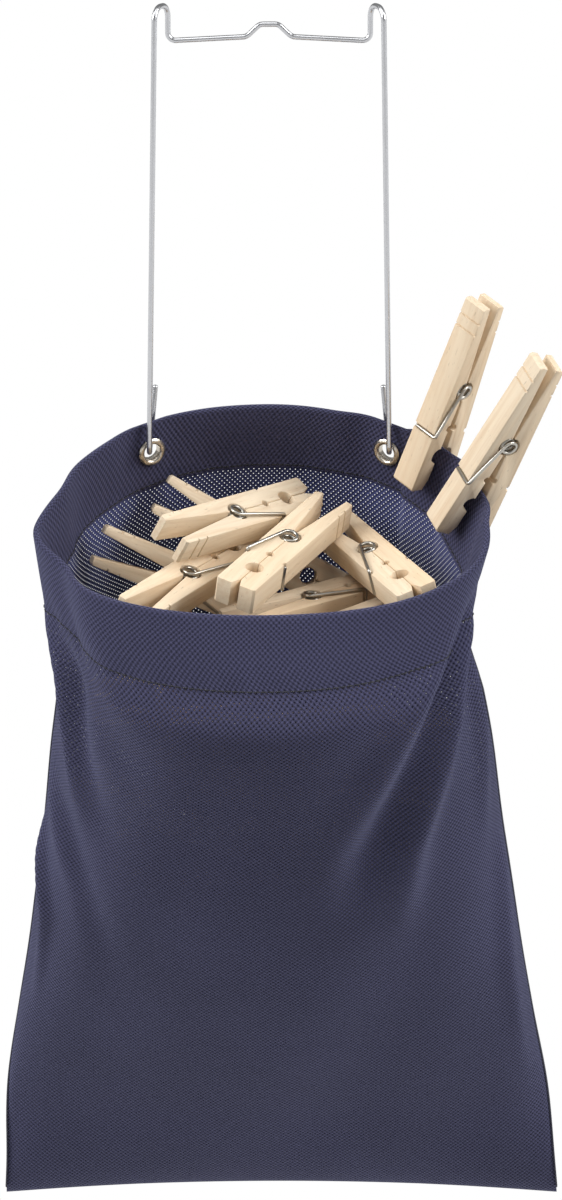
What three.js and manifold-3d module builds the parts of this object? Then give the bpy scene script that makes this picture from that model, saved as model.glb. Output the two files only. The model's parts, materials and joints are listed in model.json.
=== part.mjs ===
// Peg bag: a dark mesh cloth bag hung from a bent wire hanger. It is full of sprung wooden
// clothes pegs, and two more pegs are clipped to its rim.
// Millimetres, +Z up, +X to the right and -Y towards the open front of the mouth.
// The origin is where a washing line bears in the two hooks on top of the hanger.

import * as THREE from 'three';
import { mergeVertices } from 'three/addons/utils/BufferGeometryUtils.js';
import Module from 'manifold-3d';

// Driving dimensions of the bag
const BAG_WIDTH = 243; // laid flat, seam to seam
const BAG_LENGTH = 387; // rim to bottom seam, down the back
const HEM_DEPTH = 29;
const CLOTH = 0.8;
const MOUTH_TILT = 24.5; // degrees that the plane of the rim dips to the front
const BACK_LEAN = 9.2; // degrees that the back slopes away below the rim
const BACK_BOW = 7; // the filled back swells by this much half way down
const FRONT_DRIFT = -4; // the front of the rim sits this far to the right of its back
const BOTTOM_DRIFT = 5; // and the bottom seam this far
const BINDING_WIDTH = 3;
const BINDING_THICKNESS = 0.9;

// Driving dimensions of the hanger and the eyelets
const WIRE = 2.2; // wire diameter
const HANGER_DROP = 178.5; // line seat to the wire in the eyelets
const EYELET_SPAN = 97; // between the two eyelets
const HOOK_SPAN = 90; // between the two line hooks, at their front legs
const CROSSBAR_SPAN = 80; // between the rear legs of the line hooks
const LINE_HOOK_GAP = 11; // front leg to rear leg, wire centres
const LINE_HOOK_DEPTH = 14.6; // top of the hook to the crossbar, wire centres
const CROSSBAR_RISE = 1.6;
const HUMP_WIDTH = 18;
const HUMP_HEIGHT = 5;
const BAG_HOOK_GAP = 12; // long leg to short leg, wire centres
const BAG_HOOK_LEG = 25; // height of the short leg behind the rim
const EYELET_HOLE = 7;
const EYELET_FLANGE = 11.8;
const EYELET_WALL = 0.6;
const EYELET_BELOW_RIM = 13;

// Driving dimensions of a peg
const PEG_LENGTH = 84;
const PEG_WIDTH = 11;
const LEG_THICKNESS = 8.5;
const HANDLE_THICKNESS = 3.6; // of one leg at its handle end
const JAW_LENGTH = 45.5; // jaw tip to spring coil
const BAR_FROM_COIL = 20; // spring coil to the bars that press the legs together
const SPRING_WIRE = 1.4;
const COIL_RADIUS = 2.9; // to the middle of the wire
const COIL_TURNS = 5; // whole turns, before the part turn between the two arms
const CLEARANCE = 0.3;

// Worked out from the dimensions above
const HEM_SHARE = HEM_DEPTH / BAG_LENGTH;
const STACK = 2 * CLOTH + CLEARANCE; // panel and facing together, at the rim
const HANDLE_LENGTH = PEG_LENGTH - JAW_LENGTH;
const ARM_OFFSET = PEG_WIDTH / 2 + CLEARANCE + SPRING_WIRE / 2;
const HANDLE_TAPER = (LEG_THICKNESS - HANDLE_THICKNESS) / HANDLE_LENGTH;

const degrees = THREE.MathUtils.degToRad;
const point = (x, y, z) => new THREE.Vector3(x, y, z);
const wasm = await Module();
wasm.setup();

// Materials
const cloth = () => new THREE.MeshStandardMaterial({ color: 0x3c3c48, roughness: 0.95 });
const binding = () => new THREE.MeshStandardMaterial({ color: 0x26262e, roughness: 0.95 });
const steel = () => new THREE.MeshStandardMaterial({ color: 0xb9bbbd, roughness: 0.3, metalness: 1 });
const nickel = () => new THREE.MeshStandardMaterial({ color: 0xa9a197, roughness: 0.35, metalness: 1 });
const wood = () => new THREE.MeshStandardMaterial({ color: 0xdcbd92, roughness: 0.75 });

// Closed solids

function mesh(name, geometry, material) {
  const made = new THREE.Mesh(geometry, material);
  made.name = name;
  return made;
}

function solidOf(geometry, matrix = new THREE.Matrix4()) {
  const bare = new THREE.BufferGeometry();
  const flat = geometry.index ? geometry.toNonIndexed() : geometry;
  bare.setAttribute('position', flat.getAttribute('position').clone());
  const merged = mergeVertices(bare.applyMatrix4(matrix), 1e-4);
  return new wasm.Manifold(new wasm.Mesh({
    numProp: 3,
    vertProperties: merged.getAttribute('position').array,
    triVerts: new Uint32Array(merged.index.array),
  }));
}

function geometryOf(solid) {
  const { vertProperties, triVerts } = solid.getMesh();
  const geometry = new THREE.BufferGeometry();
  geometry.setAttribute('position', new THREE.BufferAttribute(new Float32Array(vertProperties), 3));
  geometry.setIndex([...triVerts]);
  geometry.computeVertexNormals();
  return geometry;
}

// Six times the volume inside a triangle list, negative when its faces point inwards.
function signedVolume(points, index) {
  let sum = 0;
  for (let i = 0; i < index.length; i += 3) {
    const [a, b, c] = [points[index[i]], points[index[i + 1]], points[index[i + 2]]];
    sum += a.dot(b.clone().cross(c));
  }
  return sum;
}

// A closed solid through matching closed outlines, capped at both ends unless it runs round. The
// second half of a sheet's outline is its other face, split along the same diagonals as the first.
function loft(outlines, { runsRound = false, sheet = false } = {}) {
  const count = outlines[0].length;
  const points = outlines.flat();
  const index = [];
  const quad = (a, b, c, d, second) => index.push(...(second ? [a, b, d, b, c, d] : [a, b, c, a, c, d]));
  const spans = runsRound ? outlines.length : outlines.length - 1;
  for (let i = 0; i < spans; i += 1) {
    const here = i * count;
    const next = ((i + 1) % outlines.length) * count;
    for (let j = 0; j < count; j += 1) {
      const k = (j + 1) % count;
      quad(here + j, here + k, next + k, next + j, sheet && j >= count / 2);
    }
  }
  const cap = (base, turned) => {
    for (let low = 0, high = count - 1; low + 1 < high; low += 1, high -= 1) {
      const corners = [...new Set([low, low + 1, high - 1, high])].map((k) => base + k);
      const [a, b, c, d] = turned ? corners.reverse() : corners;
      index.push(a, b, c);
      if (d !== undefined) index.push(a, c, d);
    }
  };
  if (!runsRound) {
    cap(0, true);
    cap((outlines.length - 1) * count, false);
  }
  if (signedVolume(points, index) < 0) index.reverse();
  const geometry = new THREE.BufferGeometry().setFromPoints(points);
  geometry.setIndex(index);
  geometry.computeVertexNormals();
  return geometry;
}

// A round wire through a list of points.
function wireAlong(points, radius, sides) {
  const tangentAt = (i) => {
    const before = points[Math.max(i - 1, 0)];
    const after = points[Math.min(i + 1, points.length - 1)];
    return after.clone().sub(before).normalize();
  };
  const first = tangentAt(0);
  const away = Math.abs(first.x) < 0.8 ? point(1, 0, 0) : point(0, 1, 0);
  let side = away.sub(first.clone().multiplyScalar(away.dot(first))).normalize();
  const rings = points.map((centre, i) => {
    const tangent = tangentAt(i);
    side = side.clone().sub(tangent.clone().multiplyScalar(side.dot(tangent))).normalize();
    const up = tangent.clone().cross(side);
    return Array.from({ length: sides }, (_, k) => {
      const turn = (2 * Math.PI * k) / sides;
      return centre.clone()
        .addScaledVector(side, radius * Math.cos(turn))
        .addScaledVector(up, radius * Math.sin(turn));
    });
  });
  return loft(rings);
}

// A path through corners, each but the ends rounded to the corner's radius.
function bentPath(corners, stepDegrees = 24) {
  const path = [corners[0].at];
  for (let i = 1; i < corners.length - 1; i += 1) {
    const { at, radius } = corners[i];
    const back = corners[i - 1].at.clone().sub(at).normalize();
    const on = corners[i + 1].at.clone().sub(at).normalize();
    const inside = back.angleTo(on);
    const turn = Math.PI - inside;
    const middle = back.clone().add(on).normalize();
    const centre = at.clone().addScaledVector(middle, radius / Math.sin(inside / 2));
    const start = at.clone().addScaledVector(back, radius / Math.tan(inside / 2)).sub(centre);
    const axis = on.clone().cross(back).normalize();
    const steps = Math.max(2, Math.ceil(THREE.MathUtils.radToDeg(turn) / stepDegrees));
    for (let k = 0; k <= steps; k += 1) {
      path.push(start.clone().applyAxisAngle(axis, (turn * k) / steps).add(centre));
    }
  }
  path.push(corners.at(-1).at);
  return path;
}

// The bag's surface. v runs from the rim (0) down to the bottom seam (1). turn runs round the
// mouth from the right seam (0) by the back (a quarter) and the left seam (a half) to the front.
// The bag's own frame has its origin at the middle of the back rim.

// A smooth curve through [place, value] stops.
function alongStops(stops, place) {
  let i = stops.findIndex(([at]) => at >= place);
  i = Math.min(Math.max(i, 1), stops.length - 1);
  const slope = (k) => {
    const [from, to] = [stops[Math.max(k - 1, 0)], stops[Math.min(k + 1, stops.length - 1)]];
    return (to[1] - from[1]) / (to[0] - from[0]);
  };
  const [x0, y0] = stops[i - 1];
  const [x1, y1] = stops[i];
  const span = x1 - x0;
  const t = (place - x0) / span;
  const inverse = 1 - t;
  return y0 * inverse * inverse * (1 + 2 * t) + y1 * t * t * (3 - 2 * t)
    + span * t * inverse * (slope(i - 1) * inverse - slope(i) * t);
}

// Half the width across the bag, as a share of its flat width: the rim flares, the cloth draws in
// under the hem, and the bag widens to its full flat width at the bottom seam.
const HALF_WIDTHS = [
  [0, 0.353], [0.075, 0.34], [0.12, 0.329], [0.2, 0.345], [0.31, 0.37],
  [0.44, 0.39], [0.57, 0.415], [0.7, 0.447], [0.84, 0.479], [1, 0.5],
];
const TILTS = [[0, 1], [0.075, 0.92], [0.3, 0.6], [0.6, 0.3], [1, 0]]; // shares of the rim's tilt
const GIRTHS = [[0, 0.985], [0.12, 1], [1, 1]]; // shares of twice the flat width
const EGG_SKEW = 0.16; // the mouth is widest in front of its middle
const EGG_BULGE = 0.19;
const EGG_FADE = 0.35; // sections below this share of the length are plain ellipses

const halfWidth = (v) => BAG_WIDTH * alongStops(HALF_WIDTHS, v);
const tilt = (v) => degrees(MOUTH_TILT) * alongStops(TILTS, v);
const drift = (turn, v) => THREE.MathUtils.lerp((FRONT_DRIFT * (1 - Math.sin(turn))) / 2, BOTTOM_DRIFT, v);

function section(turn, v, across, deep) {
  const egg = THREE.MathUtils.smoothstep(EGG_FADE - v, 0, EGG_FADE);
  const s = Math.sin(turn);
  const wide = 1 - egg * (EGG_SKEW * s - EGG_BULGE * s * s);
  return [across * Math.cos(turn) * wide, deep * s];
}

function girth(v, across, deep) {
  const steps = 96;
  let sum = 0;
  let [x0, y0] = section(0, v, across, deep);
  for (let k = 1; k <= steps; k += 1) {
    const [x1, y1] = section((2 * Math.PI * k) / steps, v, across, deep);
    sum += Math.hypot(x1 - x0, y1 - y0);
    [x0, y0] = [x1, y1];
  }
  return sum;
}

// Half the depth that keeps the cloth's girth at that height, found by halving.
const depths = new Map();
function halfDepth(v) {
  if (!depths.has(v)) {
    const wanted = 2 * BAG_WIDTH * alongStops(GIRTHS, v);
    const across = halfWidth(v);
    let [low, high] = [CLOTH + CLEARANCE, BAG_WIDTH / 2];
    for (let k = 0; k < 40; k += 1) {
      const middle = (low + high) / 2;
      if (girth(v, across, middle) > wanted) high = middle;
      else low = middle;
    }
    depths.set(v, low);
  }
  return depths.get(v);
}

// A point of the cloth as it hangs from the hanger alone.
function clothPoint(turn, v, inset) {
  const deep = halfDepth(v);
  const [x, q] = section(turn, v, halfWidth(v) - inset, deep - inset);
  const lean = degrees(BACK_LEAN);
  const back = BAG_LENGTH * v * Math.sin(lean) + BACK_BOW * Math.sin(Math.PI * v);
  const down = BAG_LENGTH * v * Math.cos(lean);
  const reach = q - deep;
  return point(x + drift(turn, v), back + reach * Math.cos(tilt(v)), reach * Math.sin(tilt(v)) - down);
}

// The turn on the back at which the cloth reaches a given x, found by halving.
function turnAtX(x, v) {
  let [from, to] = [0, Math.PI];
  for (let k = 0; k < 40; k += 1) {
    const middle = (from + to) / 2;
    if (clothPoint(middle, v, 0).x > x) from = middle;
    else to = middle;
  }
  return from;
}

// The two turns that are a given width apart on the rim, about a middle turn.
function facetSpan(turn, width) {
  const nudge = 0.01;
  const ends = [turn - nudge, turn + nudge].map((end) => clothPoint(end, 0, 0));
  const half = (width * nudge) / ends[0].distanceTo(ends[1]);
  return [turn - half, turn + half];
}

// The eyelets and the clipped pegs sit on flat facets of the cloth. Each clipped peg's facet is a
// gap along the rim from the one before, starting at the right eyelet's. lean is away from square
// to the rim, depth is how far the peg is pushed over it, and flare is how far it tips the hem.
const EYELET_SHARE = EYELET_BELOW_RIM / BAG_LENGTH;
const EYELET_TURNS = [1, -1].map((side) => turnAtX((side * EYELET_SPAN) / 2, EYELET_SHARE));
const EYELET_FACET = EYELET_FLANGE + 10 * CLEARANCE;
const [EYELET_EDGE] = facetSpan(EYELET_TURNS[0], EYELET_FACET);
const CLIP_KINDS = [
  { gap: 0.35, facet: 1.6, lean: -10, depth: 0.42, flare: 0.052 },
  { gap: 0.83, facet: 2, lean: -14, depth: 0.5, flare: 0.095 },
]; // shares of the peg's width, width, degrees, shares of the jaw's length and of the peg's length
let freeEdge = EYELET_EDGE;
const CLIPS = CLIP_KINDS.map((kind) => {
  const facet = kind.facet * PEG_WIDTH;
  const [turn] = facetSpan(freeEdge, facet + 2 * kind.gap * PEG_WIDTH);
  [freeEdge] = facetSpan(turn, facet);
  return {
    turn, facet, lean: degrees(kind.lean), depth: kind.depth * JAW_LENGTH, flare: kind.flare * PEG_LENGTH,
  };
});

// The clipped pegs tip the hem outwards: out at the rim and in below it, level across each peg.
const FLARES = [
  [-EYELET_EDGE, 0],
  ...CLIPS.toReversed().flatMap(({ turn, flare, facet }) => (
    facetSpan(turn, facet + CLEARANCE).map((end) => [end, flare])
  )),
  [EYELET_EDGE, 0],
];
const FLARE_HEIGHTS = [[0, 0.5], [HEM_SHARE, -0.5], [3 * HEM_SHARE, 0]];

function betweenStops(stops, place) {
  const after = stops.findIndex(([at]) => at >= place);
  if (after === -1) return stops.at(-1)[1];
  if (after === 0) return stops[0][1];
  const [x0, y0] = stops[after - 1];
  const [x1, y1] = stops[after];
  return THREE.MathUtils.mapLinear(place, x0, x1, y0, y1);
}

function bagPoint(turn, v, inset = 0) {
  const around = Math.atan2(Math.sin(turn), Math.cos(turn));
  const flare = betweenStops(FLARES, around) * betweenStops(FLARE_HEIGHTS, v);
  return clothPoint(turn, v, inset - flare);
}

// Turns of the columns of facets: even steps, with one wide facet at each eyelet and peg.
const BASE_COLUMNS = 44;
const FACETS = [
  ...EYELET_TURNS.map((turn) => facetSpan(turn, EYELET_FACET)),
  ...CLIPS.map(({ turn, facet }) => facetSpan(turn, facet)),
];
const SEAM_GAP = CLEARANCE / 2 / halfDepth(HEM_SHARE);

function columns(from, to) {
  const step = (2 * Math.PI) / BASE_COLUMNS;
  const steps = Math.round((to - from) / step);
  const even = Array.from({ length: steps + 1 }, (_, k) => from + ((to - from) * k) / steps);
  const near = step / 3;
  const inFacet = (turn) => FACETS.some(([low, high]) => turn > low - near && turn < high + near);
  const ends = FACETS.flat().filter((turn) => turn > from && turn < to);
  const kept = even.filter((turn, k) => k === 0 || k === steps || !inFacet(turn));
  return [...kept, ...ends].sort((a, b) => a - b);
}

const BACK_COLUMNS = columns(SEAM_GAP, Math.PI - SEAM_GAP);
const FRONT_COLUMNS = columns(Math.PI + SEAM_GAP, 2 * Math.PI - SEAM_GAP);
const PANEL_ROWS = [0, HEM_SHARE, 0.12, 0.17, 0.24, 0.32, 0.41, 0.5, 0.59, 0.68, 0.77, 0.86, 0.94, 1];

// Frame of the flat facet at a turn: its middle on the outer face and its outward normal.
function facetFrame(turn, width) {
  const [low, high] = facetSpan(turn, width);
  const [a, b] = [bagPoint(low, 0), bagPoint(high, 0)];
  const [c, d] = [bagPoint(low, HEM_SHARE), bagPoint(high, HEM_SHARE)];
  const rim = a.clone().lerp(b, 0.5);
  const along = b.clone().sub(a).add(d).sub(c).normalize();
  const down = c.clone().lerp(d, 0.5).sub(rim).normalize();
  const outward = along.clone().cross(down).normalize();
  if (outward.dot(rim.clone().sub(bagPoint(turn + Math.PI, 0))) < 0) outward.negate();
  return { rim, along, down, outward };
}

// Cloth pieces

function panel(turns) {
  return loft(PANEL_ROWS.map((v) => [
    ...turns.map((turn) => bagPoint(turn, v)),
    ...turns.map((turn) => bagPoint(turn, v, CLOTH)).reverse(),
  ]), { sheet: true });
}

function rimFacing() {
  const turns = [...BACK_COLUMNS, ...FRONT_COLUMNS];
  const outer = CLOTH + CLEARANCE;
  return loft(turns.map((turn) => [
    bagPoint(turn, 0, outer),
    bagPoint(turn, HEM_SHARE, outer),
    bagPoint(turn, HEM_SHARE, outer + CLOTH),
    bagPoint(turn, 0, outer + CLOTH),
  ]), { runsRound: true, sheet: true });
}

function seamBinding(side) {
  const half = BINDING_WIDTH / 2;
  return loft(PANEL_ROWS.slice(1, -1).map((v) => {
    const { x, y, z } = bagPoint(side > 0 ? 0 : Math.PI, v);
    const inner = x + side * 2 * CLEARANCE;
    const outer = inner + side * BINDING_THICKNESS;
    return [point(inner, y - half, z), point(inner, y + half, z), point(outer, y + half, z),
      point(outer, y - half, z)];
  }));
}

// Eyelets: a flanged tube through the hem and a washer on it behind the cloth. Local +Y is the
// outward normal, with zero on the cloth's outer face.

const BARREL = EYELET_HOLE / 2 + EYELET_WALL;
const EYELET_SIDES = 16;

function ring(profile) {
  const outline = profile.map(([radius, along]) => new THREE.Vector2(radius, along));
  return geometryOf(solidOf(new THREE.LatheGeometry([...outline, outline[0]], EYELET_SIDES)));
}

function eyelet() {
  const inside = -STACK - CLEARANCE; // face of the flange against the facing
  const behind = 2 * CLEARANCE + EYELET_WALL; // face of the rolled end against the washer
  const hole = EYELET_HOLE / 2;
  const flange = EYELET_FLANGE / 2;
  const rolled = BARREL + EYELET_WALL;
  return ring([
    [BARREL, inside], [BARREL, behind], [rolled, behind], [rolled, behind + EYELET_WALL],
    [hole + 0.3, behind + EYELET_WALL + 0.2], [hole, behind], [hole, inside], [hole + 0.5, inside - 1],
    [flange - 1, inside - 1], [flange, inside - 0.4], [flange, inside],
  ]);
}

function washer() {
  const inner = BARREL + CLEARANCE;
  const outer = EYELET_FLANGE / 2;
  const top = CLEARANCE + EYELET_WALL;
  return ring([[inner, CLEARANCE], [outer, CLEARANCE], [outer, top], [inner, top]]);
}

function eyeletPlace(turn) {
  const { rim, down, outward } = facetFrame(turn, EYELET_FACET);
  const place = new THREE.Group();
  place.position.copy(rim).addScaledVector(down, EYELET_BELOW_RIM);
  place.quaternion.setFromUnitVectors(point(0, 1, 0), outward);
  place.updateMatrix();
  return place;
}

function eyeletBore(place) {
  const bore = new THREE.CylinderGeometry(BARREL + CLEARANCE, BARREL + CLEARANCE, 8 * STACK, EYELET_SIDES);
  return solidOf(bore, place.matrix);
}

// Hanger: one wire. Each side runs from the short leg behind the rim, through the eyelet, up the
// long leg and over the line hook to the crossbar, which has a hump in its middle.

function hanger() {
  const wire = WIRE / 2;
  const low = -HANGER_DROP;
  const top = wire;
  const bar = top - LINE_HOOK_DEPTH;
  const [longLeg, shortLeg] = [-0.62 * BAG_HOOK_GAP, 0.38 * BAG_HOOK_GAP];
  const hookHalf = LINE_HOOK_GAP / 2;
  const bagHook = EYELET_SPAN / 2 - CLEARANCE;
  const tipLean = 2.6;
  const sideOf = (side) => [
    { at: point(side * (EYELET_SPAN / 2 - tipLean), shortLeg, low + BAG_HOOK_LEG) },
    { at: point(side * bagHook, shortLeg, low), radius: 3.2 },
    { at: point(side * bagHook, longLeg, low), radius: 3.2 },
    { at: point((side * HOOK_SPAN) / 2, -hookHalf, top), radius: hookHalf - 0.3 },
    { at: point((side * CROSSBAR_SPAN) / 2, hookHalf, top), radius: hookHalf - 0.3 },
    { at: point((side * CROSSBAR_SPAN) / 2, hookHalf, bar), radius: 3 },
    { at: point((side * HUMP_WIDTH) / 2, hookHalf, bar + CROSSBAR_RISE), radius: 4 },
  ];
  const peak = [-1, 1].map((side) => ({
    at: point((side * HUMP_WIDTH) / 5, hookHalf, bar + CROSSBAR_RISE + HUMP_HEIGHT),
    radius: 3.2,
  }));
  return wireAlong(bentPath([...sideOf(-1), ...peak, ...sideOf(1).reverse()]), wire, 8);
}

// Pegs. A peg's own frame has its origin in the spring coil, +Y towards the handles, X along the
// coil and leg a on the +Z side. Leg b is leg a turned about Y.

function legGeometry() {
  const arc = Math.PI;
  const inner = CLEARANCE / 2;
  const outer = LEG_THICKNESS;
  const tip = -JAW_LENGTH;
  const bevel = 0.9;
  const shape = new THREE.Shape();
  shape.moveTo(tip, inner + 1.7);
  shape.lineTo(tip + 4.5, inner);
  const coilNotch = COIL_RADIUS + SPRING_WIRE / 2 + 0.7;
  const notches = [[tip + 15.6, 3.4, 0], [tip + 28.5, 1.5, 0], [0, coilNotch, Math.atan(HANDLE_TAPER)]];
  notches.forEach(([at, radius, end]) => shape.absarc(at, inner, radius, arc, end, true));
  shape.lineTo(HANDLE_LENGTH, inner + HANDLE_LENGTH * HANDLE_TAPER);
  shape.lineTo(HANDLE_LENGTH, outer - bevel);
  shape.lineTo(HANDLE_LENGTH - bevel, outer);
  const grooves = [[HANDLE_LENGTH - 7, 0.9], [HANDLE_LENGTH - 12, 0.9], [-BAR_FROM_COIL, 1.1]];
  grooves.forEach(([at, radius]) => shape.absarc(at, outer, radius, 0, -arc, true));
  shape.lineTo(tip + bevel, outer);
  shape.lineTo(tip, outer - bevel);
  const geometry = new THREE.ExtrudeGeometry(shape, {
    depth: PEG_WIDTH, steps: 1, curveSegments: 2, bevelEnabled: false,
  });
  geometry.translate(0, 0, -PEG_WIDTH / 2);
  return geometry.applyMatrix4(new THREE.Matrix4().makeBasis(point(0, 1, 0), point(0, 0, 1), point(1, 0, 0)));
}

// The wire of a spring: a bar in leg b's groove, an arm, the coil, an arm and a bar on leg a.
function springPath(opening) {
  const bar = [-BAR_FROM_COIL, LEG_THICKNESS];
  const [cos, sin] = [Math.cos(opening), Math.sin(opening)];
  const [barY, barZ] = [bar[0] * cos + bar[1] * sin, bar[1] * cos - bar[0] * sin];
  const away = Math.hypot(barY, barZ);
  const touch = Math.atan2(barZ, barY) - Math.acos(COIL_RADIUS / away);
  const sweep = 2 * touch + 2 * Math.PI * COIL_TURNS;
  const steps = Math.round((8 * sweep) / (2 * Math.PI));
  const bend = 1.1;
  const barEnd = PEG_WIDTH / 2 - 1.5;
  const armTo = (side) => bentPath([
    { at: point(side * -barEnd, barY, side * barZ) },
    { at: point(side * ARM_OFFSET, barY, side * barZ), radius: bend },
    { at: point(side * ARM_OFFSET, COIL_RADIUS * Math.cos(touch), side * COIL_RADIUS * Math.sin(touch)) },
  ], 45).slice(0, -1);
  const coil = Array.from({ length: steps + 1 }, (_, k) => {
    const turn = -touch + (sweep * k) / steps;
    const x = ARM_OFFSET * (-1 + (2 * k) / steps);
    return point(x, COIL_RADIUS * Math.cos(turn), COIL_RADIUS * Math.sin(turn));
  });
  return [...armTo(-1), ...coil, ...armTo(1).reverse()];
}

// Least gap between parts of a wire that are more than one turn apart along it.
function leastGap(path, diameter) {
  let least = Infinity;
  for (let i = 0; i < path.length; i += 1) {
    for (let j = i + 6; j < path.length; j += 1) least = Math.min(least, path[i].distanceTo(path[j]));
  }
  return least - diameter;
}

const LEG = legGeometry();

function peg(name, opening, legNames) {
  const group = new THREE.Group();
  const legA = mesh(`${name}_${legNames[0]}`, LEG, wood());
  const legB = mesh(`${name}_${legNames[1]}`, LEG, wood());
  legA.rotation.x = -opening;
  legB.rotation.set(opening, Math.PI, 0);
  const path = springPath(opening);
  const spring = mesh(`${name}_spring`, wireAlong(path, SPRING_WIRE / 2, 5), steel());
  group.add(legA, legB, spring);
  return group;
}

// A peg clipped to the rim: its jaws either side of the hem, leaning along the rim.
function clippedPeg(number, { turn, lean, depth, facet }) {
  const opening = Math.atan((STACK / 2 + 2.8 * CLEARANCE) / (JAW_LENGTH - depth)); // of each leg
  const group = peg(`clip_peg_${number}`, opening, ['inner_leg', 'outer_leg']);
  const { rim, along, down, outward } = facetFrame(turn, facet);
  const up = down.clone().multiplyScalar(-Math.cos(lean)).addScaledVector(along, Math.sin(lean)).normalize();
  const inward = outward.clone().negate();
  group.quaternion.setFromRotationMatrix(
    new THREE.Matrix4().makeBasis(up.clone().cross(inward), up, inward),
  );
  const grip = depth / 2; // the middle of the gripped cloth is on the middle of its facet
  group.position.copy(rim)
    .addScaledVector(outward, -STACK / 2)
    .addScaledVector(down, grip * Math.cos(lean))
    .addScaledVector(up, JAW_LENGTH - grip);
  return group;
}

// Loose pegs lie on the heap. across and deep place the coil in the mouth (shares of its half
// width from the middle and of its depth from the front). heading is the way the jaws point in
// plan, pitch lifts the jaws, and lean tips the upper side of the peg to the front (degrees).
const LOOSE_PEGS = [
  { across: 0.48, deep: 0.58, heading: -66, pitch: -3, lean: 35 },
  { across: -0.58, deep: 0.36, heading: 57, pitch: 4, lean: 35 },
  { across: -0.2, deep: 0.64, heading: 50, pitch: -4, lean: 40 },
  { across: 0.1, deep: 0.47, heading: -118, pitch: -7, lean: 25 },
];

const HEAP_ROOM = STACK + 1.6; // the heap keeps clear of the hem and the panels
const HEAP_LEVEL = 61; // top of the heap below the back rim, at the middle of the mouth
const HEAP_SLOPE = 6; // degrees that it falls to the front
const HEAP_ROWS = [0.04, 0.1, 0.17, 0.26, 0.38, 0.5, 0.62, 0.74, 0.85, 0.93];
const HEAP_COLUMNS = 28;

function heap() {
  const body = solidOf(loft(HEAP_ROWS.map((v) => Array.from({ length: HEAP_COLUMNS }, (_, k) => (
    bagPoint((2 * Math.PI * k) / HEAP_COLUMNS, v, HEAP_ROOM)
  )))));
  const above = new THREE.Group();
  const size = 2 * BAG_WIDTH;
  above.position.set(0, -halfDepth(0), -HEAP_LEVEL);
  above.rotation.x = degrees(HEAP_SLOPE);
  above.updateMatrix();
  const block = new THREE.BoxGeometry(size, size, size).translate(0, 0, size / 2);
  return geometryOf(body.subtract(solidOf(block, above.matrix)));
}

// The space that a peg takes up.
function pegRoom(group) {
  group.updateMatrix();
  return group.children.map((piece) => {
    piece.updateMatrix();
    return solidOf(piece.geometry, group.matrix.clone().multiply(piece.matrix));
  }).reduce((all, piece) => all.add(piece));
}

// Moves a peg towards the middle of the mouth until the way down past the cloth is clear.
function keepInside(group, walls, middle) {
  const inward = middle.clone().sub(group.position).setZ(0).normalize();
  const levels = 16;
  const heights = Array.from({ length: levels }, (_, k) => (-1.25 * HEAP_LEVEL * k) / levels);
  const blocked = () => heights.some((height) => {
    group.position.z = height;
    return pegRoom(group).intersect(walls).volume() > 0;
  });
  while (blocked()) group.position.add(inward);
  group.position.add(inward);
}

// Lowers a peg until it is one clearance above what lies below it.
function settle(group, below) {
  const overlaps = (height) => {
    group.position.z = height;
    return pegRoom(group).intersect(below).volume() > 0;
  };
  const step = 3;
  let clear = PEG_LENGTH;
  while (!overlaps(clear - step)) clear -= step;
  let blocked = clear - step;
  for (let k = 0; k < 8; k += 1) {
    const middle = (clear + blocked) / 2;
    if (overlaps(middle)) blocked = middle;
    else clear = middle;
  }
  group.position.z = clear + CLEARANCE;
}

function loosePeg(number, { across, deep, heading, pitch, lean }) {
  const group = peg(`loose_peg_${number}`, 0, ['leg_a', 'leg_b']);
  const [flat, rise] = [Math.cos(degrees(pitch)), Math.sin(degrees(pitch))];
  const back = point(Math.cos(degrees(heading)) * flat, Math.sin(degrees(heading)) * flat, rise).negate();
  const upper = point(0, -Math.sin(degrees(lean)), Math.cos(degrees(lean)));
  const coil = upper.addScaledVector(back, -upper.dot(back)).normalize();
  group.quaternion.setFromRotationMatrix(
    new THREE.Matrix4().makeBasis(coil, back, coil.clone().cross(back)),
  );
  const frontY = bagPoint(1.5 * Math.PI, 0).y;
  group.position.set(across * halfWidth(0), frontY * (1 - deep), 0);
  return group;
}

// The assembly

const bag = new THREE.Group();
const eyeletPlaces = EYELET_TURNS.map(eyeletPlace);
const bores = eyeletPlaces.map(eyeletBore);
const pierced = (geometry) => geometryOf(
  bores.reduce((left, bore) => left.subtract(bore), solidOf(geometry)),
);
const backPanel = pierced(panel(BACK_COLUMNS));
const frontPanel = panel(FRONT_COLUMNS);
const facing = pierced(rimFacing());
const heapSolid = heap();

bag.add(
  mesh('back_panel', backPanel, cloth()),
  mesh('front_panel', frontPanel, cloth()),
  mesh('rim_facing', facing, cloth()),
  mesh('right_seam_binding', seamBinding(1), binding()),
  mesh('left_seam_binding', seamBinding(-1), binding()),
  mesh('peg_heap', heapSolid, wood()),
);

['right', 'left'].forEach((side, k) => {
  eyeletPlaces[k].add(mesh(`${side}_eyelet`, eyelet(), nickel()), mesh(`${side}_washer`, washer(), nickel()));
  bag.add(eyeletPlaces[k]);
});

CLIPS.forEach((clip, k) => bag.add(clippedPeg(k + 1, clip)));

const walls = [backPanel, frontPanel, facing].map((geometry) => solidOf(geometry))
  .reduce((all, solid) => all.add(solid));
let pile = solidOf(heapSolid);
LOOSE_PEGS.forEach((place, k) => {
  const group = loosePeg(k + 1, place);
  keepInside(group, walls, point(0, -halfDepth(0), 0));
  settle(group, pile);
  pile = pile.add(pegRoom(group));
  bag.add(group);
});

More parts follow.
